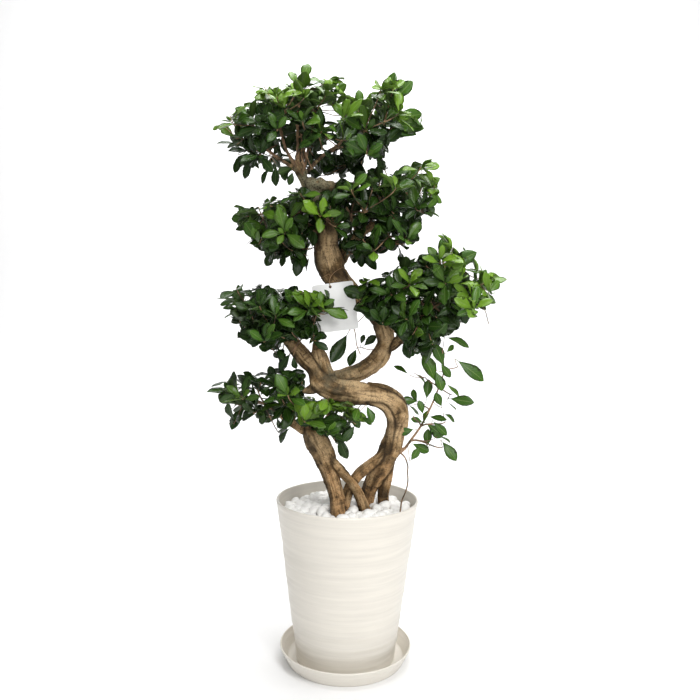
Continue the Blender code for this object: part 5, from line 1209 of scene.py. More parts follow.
def new_spray(name, wood, rows, sizes):
    """One spray as a mesh of twigs and leaves, with its two finishes."""
    leaves = leaf_skin(rows, sizes.leaf_thickness)
    twigs = gathered([tube_skin(path, radii, 6) for path, radii in wood])
    skin = gathered([leaves["skin"], twigs])
    piece = new_piece(name, skin, [bpy.data.materials["leaf_blade"], bpy.data.materials["twig"]])
    data = piece.data
    leaf_quads, leaf_triangles = len(leaves["skin"][1]), len(leaves["skin"][2])
    wood_quads, wood_triangles = len(twigs[1]), len(twigs[2])
    below = np.concatenate([
        leaves["below"][0], np.zeros(wood_quads), leaves["below"][1], np.zeros(wood_triangles),
    ])
    is_wood = np.concatenate([
        np.zeros(leaf_quads), np.ones(wood_quads), np.zeros(leaf_triangles), np.ones(wood_triangles),
    ])
    data.polygons.foreach_set("material_index", is_wood.astype(np.int32))
    set_values(data, "under", below, "FACE")
    for key in ("young", "shade"):
        set_values(data, key, np.concatenate([leaves[key], np.zeros(len(twigs[0]))]))
    place = np.concatenate([leaves["place"], np.full((len(twigs[0]), 2), 0.5)])
    corners = np.empty(len(data.loops), np.int32)
    data.loops.foreach_get("vertex_index", corners)
    data.uv_layers.new(name="blade").data.foreach_set("uv", place[corners].astype(np.float32).ravel())
    stands_for(piece, "leaf", name)
    return piece


def stem_lines(step=0.004):
    """Every stem's smooth path and radii, by name."""
    return {name: smooth_path(*placed(route), step)[:2] for name, route in STEMS.items()}


def card_box():
    low, high = (np.array(corner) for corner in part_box("tag"))
    return (low + high) / 2, (high - low) / 2


SHOOT_TRIES = 40
SHOOT_SPREAD = 0.030
SHOOT_R = 0.0010


def more_shoots(wood, tips, count, outline, draw, room):
    """Short shoots off a spray's twigs, each to the emptiest of some random places in the pad's outline."""
    made = []
    for i in range(count):
        near = np.array([path[-1] for path, radii in wood])
        places = near[draw.integers(0, len(near), SHOOT_TRIES)] + draw.normal(0.0, SHOOT_SPREAD * 0.75, (SHOOT_TRIES, 3))
        fits = enclosed(as_seen(places), outline)
        fits &= np.all((places > CAD_BOX[0] + 0.022) & (places < CAD_BOX[1] - 0.020), axis=1)
        stem_gap = (np.linalg.norm(places[:, None] - room.stems, axis=2) - room.reach).min(axis=1)
        fits &= stem_gap > 0.008
        if not fits.any():
            continue
        places = places[fits]
        away = np.linalg.norm(places[:, None] - np.array(tips), axis=2).min(axis=1)
        spots = as_seen(room.middles[1:room.count])
        thin = np.linalg.norm(as_seen(places)[:, None] - spots, axis=2).min(axis=1)
        aim = places[int(np.argmax(away + 0.010 * np.minimum(thin, 2.0)))]
        line = np.concatenate([path[2:-2] for path, radii in wood])
        gap = np.linalg.norm(line - aim, axis=1)
        root = line[int(np.argmin(gap + 2.0 * np.clip(0.012 - gap, 0.0, None)))]
        path = bend_between(root, unit(aim - root + UP * 0.004), aim, 7)
        made.append((path, np.linspace(SHOOT_R * 1.15, SHOOT_R * 0.8, 7)))
        tips.append(aim)
    return made


def shown_leaves(spots, wood, draw, sizes, young):
    """Leaves with stated ends as seen, each on a thin stalk from the nearest wood."""
    line = np.concatenate([path[1:] for path, radii in wood])
    flat = as_seen(line)
    rows, stalks = [], []
    for x, z, tip_x, tip_z, broad in spots:
        gap = np.linalg.norm(flat - (x, z), axis=1) + 0.12 * np.abs(line[:, 1]) / CM
        near = line[int(np.argmin(gap))]
        reach = math.hypot(tip_x - x, tip_z - z)
        root = seen(x, z, near[1] / CM + draw.normal(0.0, 0.3))
        tip = seen(tip_x, tip_z, root[1] / CM + draw.uniform(-0.40, 0.25) * reach)
        if np.linalg.norm(root - near) > 0.002:
            stalk = near + (root - near) * np.linspace(0.0, 1.0, 5)[:, None]
            stalk = stalk - UP * 0.10 * np.linalg.norm(root - near) * np.array((0.0, 0.7, 1.0, 0.7, 0.0))[:, None]
            stalks.append((stalk, np.full(5, 0.0006)))
        length = np.linalg.norm(tip - root)
        face = unit(np.array((0.0, -broad, 1.05 - broad)) + draw.normal(0.0, 0.12, 3))
        age_and_light = min(max(draw.normal(young, 0.08) + 0.6 * freshness(root), 0.05), 1.0)
        row = leaf_row(root, unit(tip - root), face, length * 1.08 / sizes.leaf_length, age_and_light, draw, sizes)
        row["width"] = max(min(row["width"], 0.026), min(0.014, length * 0.5))
        rows.append(row)
    return rows, stalks


SUN = unit(np.array((0.30, -0.40, 0.87)))


def put_in_shade(rows):
    """Darkens each leaf with painted shade by how many leaves a cone from it towards the light holds, and shifts its
    age value as painted light: older in the shade, younger in the open.
    """
    middles = np.array([row["root"] + row["along"] * row["length"] * 0.6 for row in rows])
    for start in range(0, len(rows), 400):
        gap = middles - middles[start:start + 400, None]
        ahead = gap @ SUN
        aside = np.linalg.norm(gap - ahead[..., None] * SUN, axis=2)
        count = ((ahead > 0.004) & (ahead < 0.11) & (aside < 0.011 + 0.34 * ahead)).sum(axis=1)
        for row, dim in zip(rows[start:start + 400], 1.0 - np.exp(-count / 6.0)):
            row["shade"] = dim
            # Painted light: the age value drops in the shade and rises in the open.
            row["young"] = min(max(row["young"] * (1.0 - 0.55 * dim) + 0.16 * (1.0 - dim), 0.0), 1.0)


class BANYAN_OT_sprays(bpy.types.Operator):
    """Makes the leafy sprays: twigs that carry spirals of folded, bent leaves"""

    bl_idname = "banyan.sprays"
    bl_label = "Sprays"

    def execute(self, context):
        sizes, colours = context.scene.banyan_sizes, context.scene.banyan_colours
        leaf_material(colours)
        twig_material(colours)
        room = Room(list(stem_lines().values()), card_box())
        tips = [seen(*tip) for parent, branch, aims in SPRAYS.values() for tip in aims]
        woods = {name: spray_wood(branch, aims) for name, (parent, branch, aims) in SPRAYS.items()}
        for name, route in BARE_SHOOTS:
            path = smooth_path(np.array([seen(*spot) for spot in route]), np.full(len(route), SHOOT_R), 0.006)[0]
            woods[name].append((path, np.full(len(path), SHOOT_R * 0.8)))
        names = list(woods)
        lines = [as_seen(np.concatenate([path for path, radii in wood])) for wood in woods.values()]
        nearest = [
            names[int(np.argmin([np.linalg.norm(line - leaf[:2], axis=1).min() for line in lines]))]
            for leaf in EDGE_LEAVES
        ]
        grown_rows = {}
        for number, (name, wood) in enumerate(woods.items()):
            draw = np.random.default_rng(100 + number)
            outline = OUTLINES[name.split("_")[0]]
            heart = np.mean([path[0] for path, radii in wood], axis=0)
            edge = [leaf for leaf, owner in zip(EDGE_LEAVES, nearest) if owner == name]
            rows, stalks = shown_leaves(edge, wood, draw, sizes, 0.12) if edge else ([], [])
            for row in rows:
                room.take(row)
            grown = wood[:len(SPRAYS[name][2])]
            count = sizes.more_shoots + (3 if "back" in name else 0)
            shoots = more_shoots(grown, tips, count, outline, draw, room)
            for path, radii in grown:
                outward = unit(path[-1] - heart)
                rows += rosette(path, outward, outline, draw, room, sizes, sizes.leaves_at_tip)
                rows += side_leaves(path, 2, 0.35, outline, draw, room, sizes)
            for path, radii in shoots:
                outward = unit(path[-1] - heart)
                rows += rosette(path, outward, outline, draw, room, sizes, sizes.leaves_at_tip - 1, 0.92)
            grown_rows[name] = rows
            wood += stalks + shoots
        put_in_shade([row for rows in grown_rows.values() for row in rows])
        for name, rows in grown_rows.items():
            new_spray(name, woods[name], rows, sizes)
        return {"FINISHED"}


def sprig_wood():
    """The long sprig's stem and side twigs."""
    stem, radii, along = smooth_path(
        np.array([seen(*spot) for spot in SPRIG_STEM]),
        np.linspace(SPRIG_BRANCH[-1][3] * CM, TWIG_END_R, len(SPRIG_STEM)), 0.008,
    )
    wood = [(stem, radii)]
    knots = [seen(*spot) for spot in SPRIG_STEM]
    for knot, tip in SPRIG_TWIGS:
        at = int(np.argmin(np.linalg.norm(stem - knots[knot], axis=1)))
        way = unit(stem[at] - stem[max(at - 1, 0)])
        path = bend_between(stem[at], (way + unit(seen(*tip) - stem[at])) / 2, seen(*tip), 8)
        thick = radii[at] * 0.75
        wood.append((path, thick + (TWIG_END_R * 0.9 - thick) * np.linspace(0.0, 1.0, len(path))))
    return wood


class BANYAN_OT_sprig(bpy.types.Operator):
    """Makes the long thin shoot at the right with its single larger leaves"""

    bl_idname = "banyan.sprig"
    bl_label = "Side sprig"

    def execute(self, context):
        sizes = context.scene.banyan_sizes
        draw = np.random.default_rng(77)
        wood = sprig_wood()
        rows, stalks = shown_leaves(SPRIG_LEAVES, wood, draw, sizes, 0.34)
        wood += stalks
        new_spray("side_sprig", wood, rows, sizes)
        return {"FINISHED"}


def knob_skin():
    """The healed cut: a flattened ball with a sunken top and a swollen, uneven rim."""
    turn = np.linspace(0.0, math.tau, KNOB_STEPS, endpoint=False)
    rise = np.linspace(-0.46 * math.pi, 0.46 * math.pi, KNOB_STEPS // 2)
    ring, height = np.cos(rise)[:, None], np.sin(rise)[:, None] * np.ones(KNOB_STEPS)
    height = height - 0.55 * np.exp(-(ring / 0.5) ** 2) * (height > 0)
    ball = np.stack([ring * np.cos(turn), ring * np.sin(turn), height], -1).reshape(-1, 3)
    poles = np.array(((0.0, 0.0, -1.0), (0.0, 0.0, 0.42)))
    ball = np.concatenate([ball, poles]) * np.array(KNOB_R)
    lean = np.array(Matrix.Rotation(-KNOB_LEAN, 3, "Y"))
    return ball @ lean.T + seen(*KNOB_AT), *ring_faces(len(rise), KNOB_STEPS)


def trunk_skins():
    """The thick wood to be joined: each stem and branch root with long flutes, and the healed cut."""
    skins = []
    for number, (name, route) in enumerate(STEMS.items()):
        if name == "hanging_root":
            continue
        path, radii, along = smooth_path(*placed(route), 0.004)
        radii = radii * (1.0 + 0.05 * lumps(path, 40 + number, 0.05))

        def flutes(count, turn, number=number, along=along):
            ring = np.stack([np.cos(turn), np.sin(turn), 0.0 * turn], -1)
            grid = ring[None] * 1.0 + along[:, None, None] * np.array((0.0, 0.0, 12.0))
            return 0.14 * lumps(grid.reshape(-1, 3), 60 + number, 2.0).reshape(count, len(turn))

        skins.append(tube_skin(path, radii, 28, flutes))
    for name, (parent, branch, tips) in SPRAYS.items():
        points, radii = placed([branch[0], *branch[2:]])
        path, radii, along = smooth_path(points, radii, 0.002)
        count = max(int(len(path) * 0.35), 4)
        flare = 0.72 + 0.6 * np.exp(-along / 0.005)
        skins.append(tube_skin(path[:count], (radii * flare)[:count], 12))
    skins.append(knob_skin())
    return skins


def nearest_wood(points, lines):
    """For each point: the stem whose skin is nearest, how far along and round it, its radius and how close the next is."""
    spots = np.concatenate([path for path, radii in lines])
    reach = np.concatenate([radii for path, radii in lines])
    owner = np.concatenate([np.full(len(path), i) for i, (path, radii) in enumerate(lines)])
    steps = [np.concatenate([[0.0], np.linalg.norm(np.diff(path, axis=0), axis=1)]) for path, radii in lines]
    run = np.concatenate([np.cumsum(step) for step in steps])
    beside = np.concatenate([carried_frames(path)[1] for path, radii in lines])
    behind = np.concatenate([carried_frames(path)[2] for path, radii in lines])
    firsts = np.flatnonzero(np.diff(owner, prepend=-1))
    best = np.empty(len(points), int)
    seam = np.empty(len(points))
    for start in range(0, len(points), 4000):
        block = points[start:start + 4000]
        away = np.linalg.norm(block[:, None] - spots, axis=2) - reach
        best[start:start + 4000] = np.argmin(away, axis=1)
        two = np.partition(np.minimum.reduceat(away, firsts, axis=1), 1, axis=1)
        seam[start:start + 4000] = np.exp(-((two[:, 1] - two[:, 0]) / 0.0022) ** 2)
    out = points - spots[best]
    turn = np.arctan2((out * behind[best]).sum(1), (out * beside[best]).sum(1))
    return owner[best], run[best], turn, reach[best], seam


def bark_relief(points, owner, run, turn, radius, depth):
    """Height of the bark and how creased and sunken it is, which later sets painted shade: lumps, long folds and broken
    rings round each stem.
    """
    ring = np.stack([np.cos(turn), np.sin(turn), np.zeros(len(turn))], -1)
    shift = np.stack([owner * 7.3, owner * 3.1, np.zeros(len(turn))], -1)
    rings = lumps(ring * 0.9 + UP * (run / 0.006)[:, None] + shift, 5, 2.6, 28)
    rings = rings + 0.6 * lumps(ring * 2.0 + UP * (run / 0.0035)[:, None] + shift, 6, 2.8, 28)
    folds = lumps(ring * 2.2 + UP * (run / 0.05)[:, None] + shift, 7, 1.6, 24)
    wide = lumps(points, 8, 0.034)
    small = lumps(points, 9, 0.012, 30)
    grain = lumps(points, 10, 0.0055, 30)
    crease = np.clip(rings - 0.55, 0.0, 1.0) * np.clip(0.7 + wide, 0.0, 1.0)
    height = depth * (0.55 * wide + 0.22 * small + 0.12 * grain + 1.25 * folds - 0.7 * crease)
    height = height * np.clip(radius / 0.012, 0.25, 1.0)
    return height, np.clip(crease * 1.1 + np.clip(-small - 0.9, 0.0, 0.5), 0.0, 1.0)


# Faces turned this way, away from the light, get painted shade.
SHADE_SIDE = unit(np.array((-0.60, 0.42, -0.68)))
# Spots where the bark is darkened: middle as seen x, z and depth y in cm, size in m and strength; the one under the
# healed cut is painted shade.
DARK_SPOTS = (
    ((-5.8, 83.0, -1.6), 0.013, 0.9), ((-3.6, 78.2, -1.8), 0.014, 0.75), ((-6.4, 71.4, -0.8), 0.015, 0.9),
    ((-6.0, 75.6, -0.8), 0.014, 0.9), ((-1.6, 75.0, -0.8), 0.012, 0.8), ((-1.4, 69.4, -1.6), 0.013, 0.65),
    ((-3.4, 49.8, -3.6), 0.014, 0.5), ((7.6, 43.0, -1.8), 0.012, 0.6), ((-6.6, 52.4, -2.8), 0.012, 0.6),
    ((-6.4, 38.6, -2.4), 0.012, 0.7), ((5.2, 35.0, -1.2), 0.011, 0.5), ((-4.6, 55.4, -1.8), 0.010, 0.6),
)
MOSS_SPOTS = (((-5.7, 85.8, -1.0), 0.030, 1.0), ((-1.6, 51.6, -1.4), 0.030, 0.30))
PALE_SPOTS = (
    ((-3.6, 73.6, -2.2), 0.017, 0.9), ((-6.2, 82.0, -1.6), 0.008, 0.8), ((7.2, 47.9, -2.4), 0.018, 0.45),
    ((0.6, 48.6, -4.6), 0.022, 0.40), ((-4.4, 37.4, -4.0), 0.016, 0.35), ((4.4, 62.6, -1.3), 0.016, 0.40),
)


def dressed_bark(piece, lines, depth):
    """Presses the bark's relief into the joined wood and stores its moss, root colour and painted shade: in creases,
    where stems meet, on the side away from the light and at dark spots.
    """
    data = piece.data
    points = point_array(data)
    normals = normal_array(data)
    owner, run, turn, radius, seam = nearest_wood(points, lines)
    height, crease = bark_relief(points, owner, run, turn, radius, depth)
    points = points + normals * (height - 0.9 * depth * seam)[:, None]
    data.vertices.foreach_set("co", points.astype(np.float32).ravel())
    grown = {}
    for name, spots in (("moss", MOSS_SPOTS), ("pale", PALE_SPOTS), ("crease", DARK_SPOTS)):
        grown[name] = np.zeros(len(points))
        for spot, size, most in spots:
            away = np.linalg.norm(points - seen(*spot), axis=1) / size + 0.25 * lumps(points, 13, 0.02)
            grown[name] = np.maximum(grown[name], most * np.clip(1.6 - away, 0.0, 1.0))
    # Painted shade on the side turned away from the light, broken up by noise.
    side_shade = np.clip(0.36 + normals @ SHADE_SIDE, 0.0, 1.0) * np.clip(0.95 + 0.5 * lumps(points, 14, 0.03), 0.0, 1.2)
    # Painted shade: darker in creases and sunken spots, where two stems meet and on the side away from the light,
    # joined with the dark spots.
    light = (1.0 - 0.45 * crease) * (1.0 - 0.80 * seam) * (1.0 - 0.88 * np.clip(side_shade, 0.0, 1.0))
    grown["crease"] = 1.0 - light * (1.0 - grown["crease"])
    root = np.clip((0.40 - points[:, 2]) / 0.10, 0.0, 0.75) * np.clip(0.8 + 0.6 * lumps(points, 12, 0.05), 0.0, 1.0)
    layer = data.attributes.new("stem_place", "FLOAT_VECTOR", "POINT")
    round_it = np.stack([np.cos(turn) * radius, np.sin(turn) * radius, run + owner * 0.37], -1)
    layer.data.foreach_set("vector", round_it.astype(np.float32).ravel())
    for name, values in (*grown.items(), ("root", root)):
        set_values(data, name, values)
    data.update()


class BANYAN_OT_trunk(bpy.types.Operator):
    """Makes the trunk with its roots, boughs and branches as one barked surface"""

    bl_idname = "banyan.trunk"
    bl_label = "Trunk"

    def execute(self, context):
        sizes, colours = context.scene.banyan_sizes, context.scene.banyan_colours
        bark = bark_material(colours)
        piece = new_piece("trunk_bark", gathered(trunk_skins()), [bark])
        join = piece.modifiers.new("join", "REMESH")
        join.mode = "VOXEL"
        join.voxel_size = sizes.bark_grain
        ease = piece.modifiers.new("ease", "SMOOTH")
        ease.factor = 0.5
        ease.iterations = 6
        applied(piece)
        piece.data.polygons.foreach_set("use_smooth", np.ones(len(piece.data.polygons), bool))
        thick = [lines for name, lines in stem_lines().items() if name != "hanging_root"]
        dressed_bark(piece, thick, sizes.bark_relief)
        stands_for(piece, "bark", "trunk")
        thin = []
        for name, (parent, branch, tips) in SPRAYS.items():
            points, radii = placed([branch[0], *branch[2:]])
            path, radii, along = smooth_path(points, radii, 0.004)
            thin.append(tube_skin(path, radii * 0.72, 10))
        points, radii = placed([SPRIG_BRANCH[0], *SPRIG_BRANCH[2:]])
        thin.append(tube_skin(*smooth_path(points, radii, 0.004)[:2], 10))
        for number, route in enumerate((STEMS["hanging_root"], THIN_ROOT)):
            path, radii, along = smooth_path(*placed(route), 0.003)
            wiggle = np.stack([lumps(path, seed + number, 0.03) for seed in (21, 31, 41)], -1)
            thin.append(tube_skin(path + wiggle * 0.0008, radii, 8))
        branches = new_piece("branch_wood", gathered(thin), [bpy.data.materials["twig"]])
        stands_for(branches, "bark", "trunk")
        return {"FINISHED"}


def turned_skin(profile, sides, relief=None):
    """A closed surface turned about Z from a profile of r, z that starts and ends on the axis.

    The profile runs from the underside's middle out and up, and back to the axis on the inside.
    relief is added to each ring's radius.
    """
    profile = np.array(profile)
    turn = np.linspace(0.0, math.tau, sides, endpoint=False)
    r = profile[1:-1, 0][:, None] * np.ones(sides)
    z = profile[1:-1, 1][:, None] * np.ones(sides)
    if relief is not None:
        r = r + relief(r, z, turn)
    points = np.stack([r * np.cos(turn), r * np.sin(turn), z], -1).reshape(-1, 3)
    ends = np.array(((0.0, 0.0, profile[0, 1]), (0.0, 0.0, profile[-1, 1])))
    return np.concatenate([points, ends]), *ring_faces(len(profile) - 2, sides)


def stretch(start, end, count):
    """Evenly spaced points from start up to but not with end."""
    share = np.linspace(0.0, 1.0, count, endpoint=False)[:, None]
    return np.array(start) + (np.array(end) - np.array(start)) * share


def arc(middle, radius, first, last, count):
    """Points on an arc, its angles in degrees from +r towards +z."""
    turn = np.radians(np.linspace(first, last, count))
    return np.array(middle) + radius * np.stack([np.cos(turn), np.sin(turn)], -1)


def pot_r(z):
    return POT_BASE_R + (POT_RIM_R - POT_BASE_R) * (z - POT_FOOT_Z) / (POT_RIM_Z - POT_FOOT_Z)


def brushed(depth):
    """Horizontal ridges as if brushed round the wall: noise drawn out round it, fading at foot and lip."""

    def relief(r, z, turn):
        outside = (r > pot_r(z) - 0.0012) & (z > POT_FOOT_Z + 0.004) & (z < POT_RIM_Z - 0.011)
        flat = np.stack(np.broadcast_arrays(np.cos(turn), np.sin(turn), z / 0.06), -1)
        sway = 0.0035 * lumps(flat.reshape(-1, 3), 50, 2.4).reshape(z.shape)
        ring = np.stack(np.broadcast_arrays(np.cos(turn) * 0.9, np.sin(turn) * 0.9, (z + sway) / 0.0078), -1)
        coarse = lumps(ring.reshape(-1, 3), 51, 3.6, 30).reshape(z.shape)
        fine = lumps((ring * np.array((2.2, 2.2, 2.4))).reshape(-1, 3), 52, 4.2, 30).reshape(z.shape)
        ease = np.clip((z - POT_FOOT_Z - 0.004) / 0.008, 0, 1) * np.clip((POT_RIM_Z - 0.012 - z) / 0.006, 0, 1)
        return np.where(outside, depth * (0.75 * coarse + 0.45 * fine) * ease - 0.4 * depth * ease, 0.0)

    return relief


class BANYAN_OT_pot(bpy.types.Operator):
    """Makes the tapered pot with brushed ridges, a rounded lip and drain holes"""

    bl_idname = "banyan.pot"
    bl_label = "Pot"

    def execute(self, context):
        sizes, colours = context.scene.banyan_sizes, context.scene.banyan_colours
        foot = POT_FOOT_Z
        floor, lip = foot + 0.003, POT_RIM_Z - 0.010
        wall_in = pot_r(lip) - POT_WALL
        bead = (POT_RIM_R - 0.0021, POT_RIM_Z - 0.0021)
        profile = np.concatenate([
            [(0.0, floor)],
            stretch((0.004, floor), (POT_BASE_R - POT_FOOT_IN - 0.001, floor), 10),
            stretch((POT_BASE_R - POT_FOOT_IN - 0.001, floor), (POT_BASE_R - POT_FOOT_IN, foot), 3),
            stretch((POT_BASE_R - POT_FOOT_IN, foot), (POT_BASE_R - 0.001, foot), 4),
            arc((POT_BASE_R - 0.001, foot + 0.001), 0.001, -90.0, 0.0, 4),
            stretch((pot_r(foot + 0.002), foot + 0.002), (pot_r(lip), lip), 230),
            stretch((pot_r(lip), lip), (pot_r(lip) + POT_LIP - POT_WALL - 0.0004, lip + 0.003), 4),
            stretch((pot_r(lip) + 0.0009, lip + 0.003), (POT_RIM_R - 0.0001, bead[1]), 4),
            arc(bead, 0.0021, 0.0, 160.0, 9),
            stretch((POT_RIM_R - POT_WALL - 0.0012, bead[1] - 0.001), (wall_in, lip), 3),
            stretch((wall_in, lip), (pot_r(floor + 0.003) - POT_WALL, floor + 0.003), 20),
            stretch((pot_r(floor + 0.003) - POT_WALL, floor + 0.003), (0.002, floor + 0.003), 10),
            [(0.0, floor + 0.003)],
        ])
        piece = new_piece("pot_wall", turned_skin(profile, 200, brushed(sizes.ridge_depth)),
                          [plastic_material("pot_plastic", colours, 0.5)])
        for i in range(DRAIN_COUNT):
            turn = math.tau * (i + 0.5) / DRAIN_COUNT
            drill = new_piece("drill", turned_skin(
                [(0, -0.01), (DRAIN_R, -0.01), (DRAIN_R, 0.02), (0, 0.02)], 24), [])
            drill.location = (DRAIN_RING_R * math.cos(turn), DRAIN_RING_R * math.sin(turn), 0.0)
            cut = piece.modifiers.new("drain", "BOOLEAN")
            cut.operation = "DIFFERENCE"
            cut.solver = "MANIFOLD"
            cut.object = drill
            applied(piece)
            bpy.data.objects.remove(drill)
        stands_for(piece, "white_plastic", "pot")
        return {"FINISHED"}


class BANYAN_OT_saucer(bpy.types.Operator):
    """Makes the saucer with its rounded rim and one faint line round it"""

    bl_idname = "banyan.saucer"
    bl_label = "Saucer"

    def execute(self, context):
        colours = context.scene.banyan_colours
        rim = (SAUCER_RIM_R - 0.0014, SAUCER_HEIGHT - 0.0014)
        low_out, high_out = (SAUCER_BASE_R + 0.003, 0.0022), (SAUCER_RIM_R - 0.0006, SAUCER_HEIGHT - 0.0034)
        profile = np.concatenate([
            [(0.0, 0.0)],
            stretch((0.004, 0.0), (SAUCER_BASE_R, 0.0), 12),
            arc((SAUCER_BASE_R, 0.0030), 0.0030, -90.0, -20.0, 5),
            stretch(low_out, high_out, 26),
            arc(rim, 0.0014, -10.0, 190.0, 9),
            stretch((SAUCER_RIM_R - 0.0030, SAUCER_HEIGHT - 0.003), (SAUCER_BASE_R + 0.002, SAUCER_FLOOR + 0.002), 18),
            stretch((SAUCER_BASE_R + 0.002, SAUCER_FLOOR + 0.002), (SAUCER_BASE_R - 0.002, SAUCER_FLOOR), 4),
            stretch((SAUCER_BASE_R - 0.002, SAUCER_FLOOR), (0.004, SAUCER_FLOOR), 10),
            [(0.0, SAUCER_FLOOR)],
        ])

        def line(r, z, turn):
            out = (r > SAUCER_BASE_R + 0.0028) & (z > 0.003) & (z < SAUCER_HEIGHT - 0.003)
            groove = 0.00045 * np.exp(-((z - 0.0205) / 0.0009) ** 2)
            return np.where(out, -groove, 0.0)

        piece = new_piece("saucer_dish", turned_skin(profile, 160, line),
                          [plastic_material("saucer_plastic", colours, 0.25)])
        stands_for(piece, "white_plastic", "saucer")
        return {"FINISHED"}


def heap_height(x, y):
    """The height of the pebble bed: a low heap round the roots."""
    away = np.hypot(x - 0.015, y + 0.03) / HEAP_R
    return SOIL_TOP + 0.008 + HEAP_RISE * np.exp(-away * away)


STONE_RISE = np.radians((-62.0, -36.0, -10.0, 16.0, 42.0, 66.0))
STONE_SIDES = 10


def stone_skin(middle, axes, turn, tilt, seed):
    """A tumbled stone: rings of a ball raised to a blunter power, stretched, with low lumps."""
    around = np.linspace(0.0, math.tau, STONE_SIDES, endpoint=False)
    ring = np.cos(STONE_RISE)[:, None]
    ball = np.stack([ring * np.cos(around), ring * np.sin(around),
                     np.sin(STONE_RISE)[:, None] * np.ones(STONE_SIDES)], -1).reshape(-1, 3)
    ball = np.concatenate([ball, [(0.0, 0.0, -1.0), (0.0, 0.0, 1.0)]])
    blunt = np.sign(ball) * np.abs(ball) ** 0.88
    stone = blunt * (1.0 + 0.10 * lumps(ball, seed, 2.2, 8))[:, None] * axes
    pose = Matrix.Rotation(turn, 3, "Z") @ Matrix.Rotation(tilt[0], 3, "X") @ Matrix.Rotation(tilt[1], 3, "Y")
    return stone @ np.array(pose).T + middle, *ring_faces(len(STONE_RISE), STONE_SIDES)


def stone_spots(spacing, lift, draw):
    """Jittered honeycomb places inside the pot at this lift over the bed, clear of the roots."""
    legs = np.concatenate([np.column_stack(smooth_path(*placed(STEMS[leg]), 0.004)[:2]) for leg in LEGS])
    spots = []
    reach = int(0.13 / spacing) + 2
    for row in range(-reach, reach + 1):
        for column in range(-reach, reach + 1):
            x = spacing * (column + 0.5 * (row % 2)) + draw.normal(0.0, 0.09) * spacing
            y = spacing * 0.866 * row + draw.normal(0.0, 0.09) * spacing
            z = heap_height(x, y) + lift
            inner = pot_r(z) - POT_WALL - 0.0095
            near = legs[np.abs(legs[:, 2] - z) < 0.008]
            clear = np.hypot(near[:, 0] - x, near[:, 1] - y) - near[:, 3]
            if math.hypot(x, y) < inner and (len(clear) == 0 or clear.min() > 0.0055):
                spots.append((x, y, z))
    return spots


class BANYAN_OT_pebbles(bpy.types.Operator):
    """Makes the white tumbled stones in two layers, and gives the soil its finish"""

    bl_idname = "banyan.pebbles"
    bl_label = "Pebbles and soil"

    def execute(self, context):
        sizes, colours = context.scene.banyan_sizes, context.scene.banyan_colours
        draw = np.random.default_rng(3)
        skins, tones = [], []
        for layer, (spacing, lift) in enumerate(((0.0165, -0.0010), (0.0188, 0.0058))):
            for number, spot in enumerate(stone_spots(spacing, lift, draw)):
                length = sizes.stone_length * draw.uniform(0.78, 1.12)
                axes = np.array((length, length * draw.uniform(0.72, 0.92), length * draw.uniform(0.60, 0.80))) / 2
                middle = np.array(spot) + UP * draw.normal(0.0, 0.0018)
                turn, tilt = draw.uniform(0.0, math.tau), draw.normal(0.0, 0.22, 2)
                skins.append(stone_skin(middle, axes, turn, tilt, 1000 * layer + number))
                tones.append(np.full(len(skins[-1][0]), draw.uniform(0.0, 1.0)))
        piece = new_piece("white_stones", gathered(skins), [stone_material(colours)])
        set_values(piece.data, "tone", np.concatenate(tones))
        stands_for(piece, "white_stone", "pebbles")
        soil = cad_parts["soil"]
        soil.data.materials.clear()
        soil.data.materials.append(soil_material(colours))
        return {"FINISHED"}


TAG_TURN = math.radians(8.0)
TAG_WIDTH = 0.072
TAG_HEIGHT = 0.083
TAG_THICK = 0.0006
TAG_HOLE = (-0.004, TAG_HEIGHT / 2 - 0.006)
TAG_HOLE_R = 0.0024
TAG_STEPS = (28, 32)
STRING_R = 0.0006
STRING_OFF = 0.0012


def card_frame():
    """The card's middle and its directions to the right, outward and up."""
    middle, half = card_box()
    right = np.array((math.cos(TAG_TURN), 0.0, math.sin(TAG_TURN)))
    return middle, right, np.array((0.0, 1.0, 0.0)), np.array((-math.sin(TAG_TURN), 0.0, math.cos(TAG_TURN)))


def card_skin():
    """The card as a closed thin sheet with rounded corners, bowed a little from side to side and up."""
    middle, right, back, up = card_frame()
    a, b = np.meshgrid(np.linspace(-1, 1, TAG_STEPS[0]), np.linspace(-1, 1, TAG_STEPS[1]), indexing="ij")
    corner = 0.0030
    x, z = a * TAG_WIDTH / 2, b * TAG_HEIGHT / 2
    over = np.maximum(np.abs(x) - (TAG_WIDTH / 2 - corner), 0) * np.maximum(np.abs(z) - (TAG_HEIGHT / 2 - corner), 0)
    pull = 1.0 - 0.30 * (over / corner**2) * corner / (TAG_WIDTH / 2)
    x, z = x * pull, z * pull
    bow = 0.0016 * (a**2 - 0.4) - 0.0012 * (b - 0.2) ** 2
    sheets = []
    for side in (-0.5, 0.5):
        place = bow + side * TAG_THICK
        sheets.append(middle + right * x[..., None] + up * z[..., None] + back * place[..., None])
    points = np.concatenate([sheet.reshape(-1, 3) for sheet in sheets])
    rows, columns = TAG_STEPS
    i, j = np.meshgrid(np.arange(rows - 1), np.arange(columns - 1), indexing="ij")
    front = np.stack([i * columns + j, (i + 1) * columns + j, (i + 1) * columns + j + 1, i * columns + j + 1], -1)
    rear = front[..., ::-1] + rows * columns
    rim = np.concatenate([
        np.arange(rows) * columns, (rows - 1) * columns + np.arange(1, columns),
        (np.arange(rows - 2, -1, -1)) * columns + columns - 1, np.arange(columns - 2, 0, -1),
    ])
    after = np.roll(rim, -1)
    edge = np.stack([after, rim, rim + rows * columns, after + rows * columns], -1)
    quads = np.concatenate([front.reshape(-1, 4), rear.reshape(-1, 4), edge])
    return points, quads, np.empty((0, 3), int)


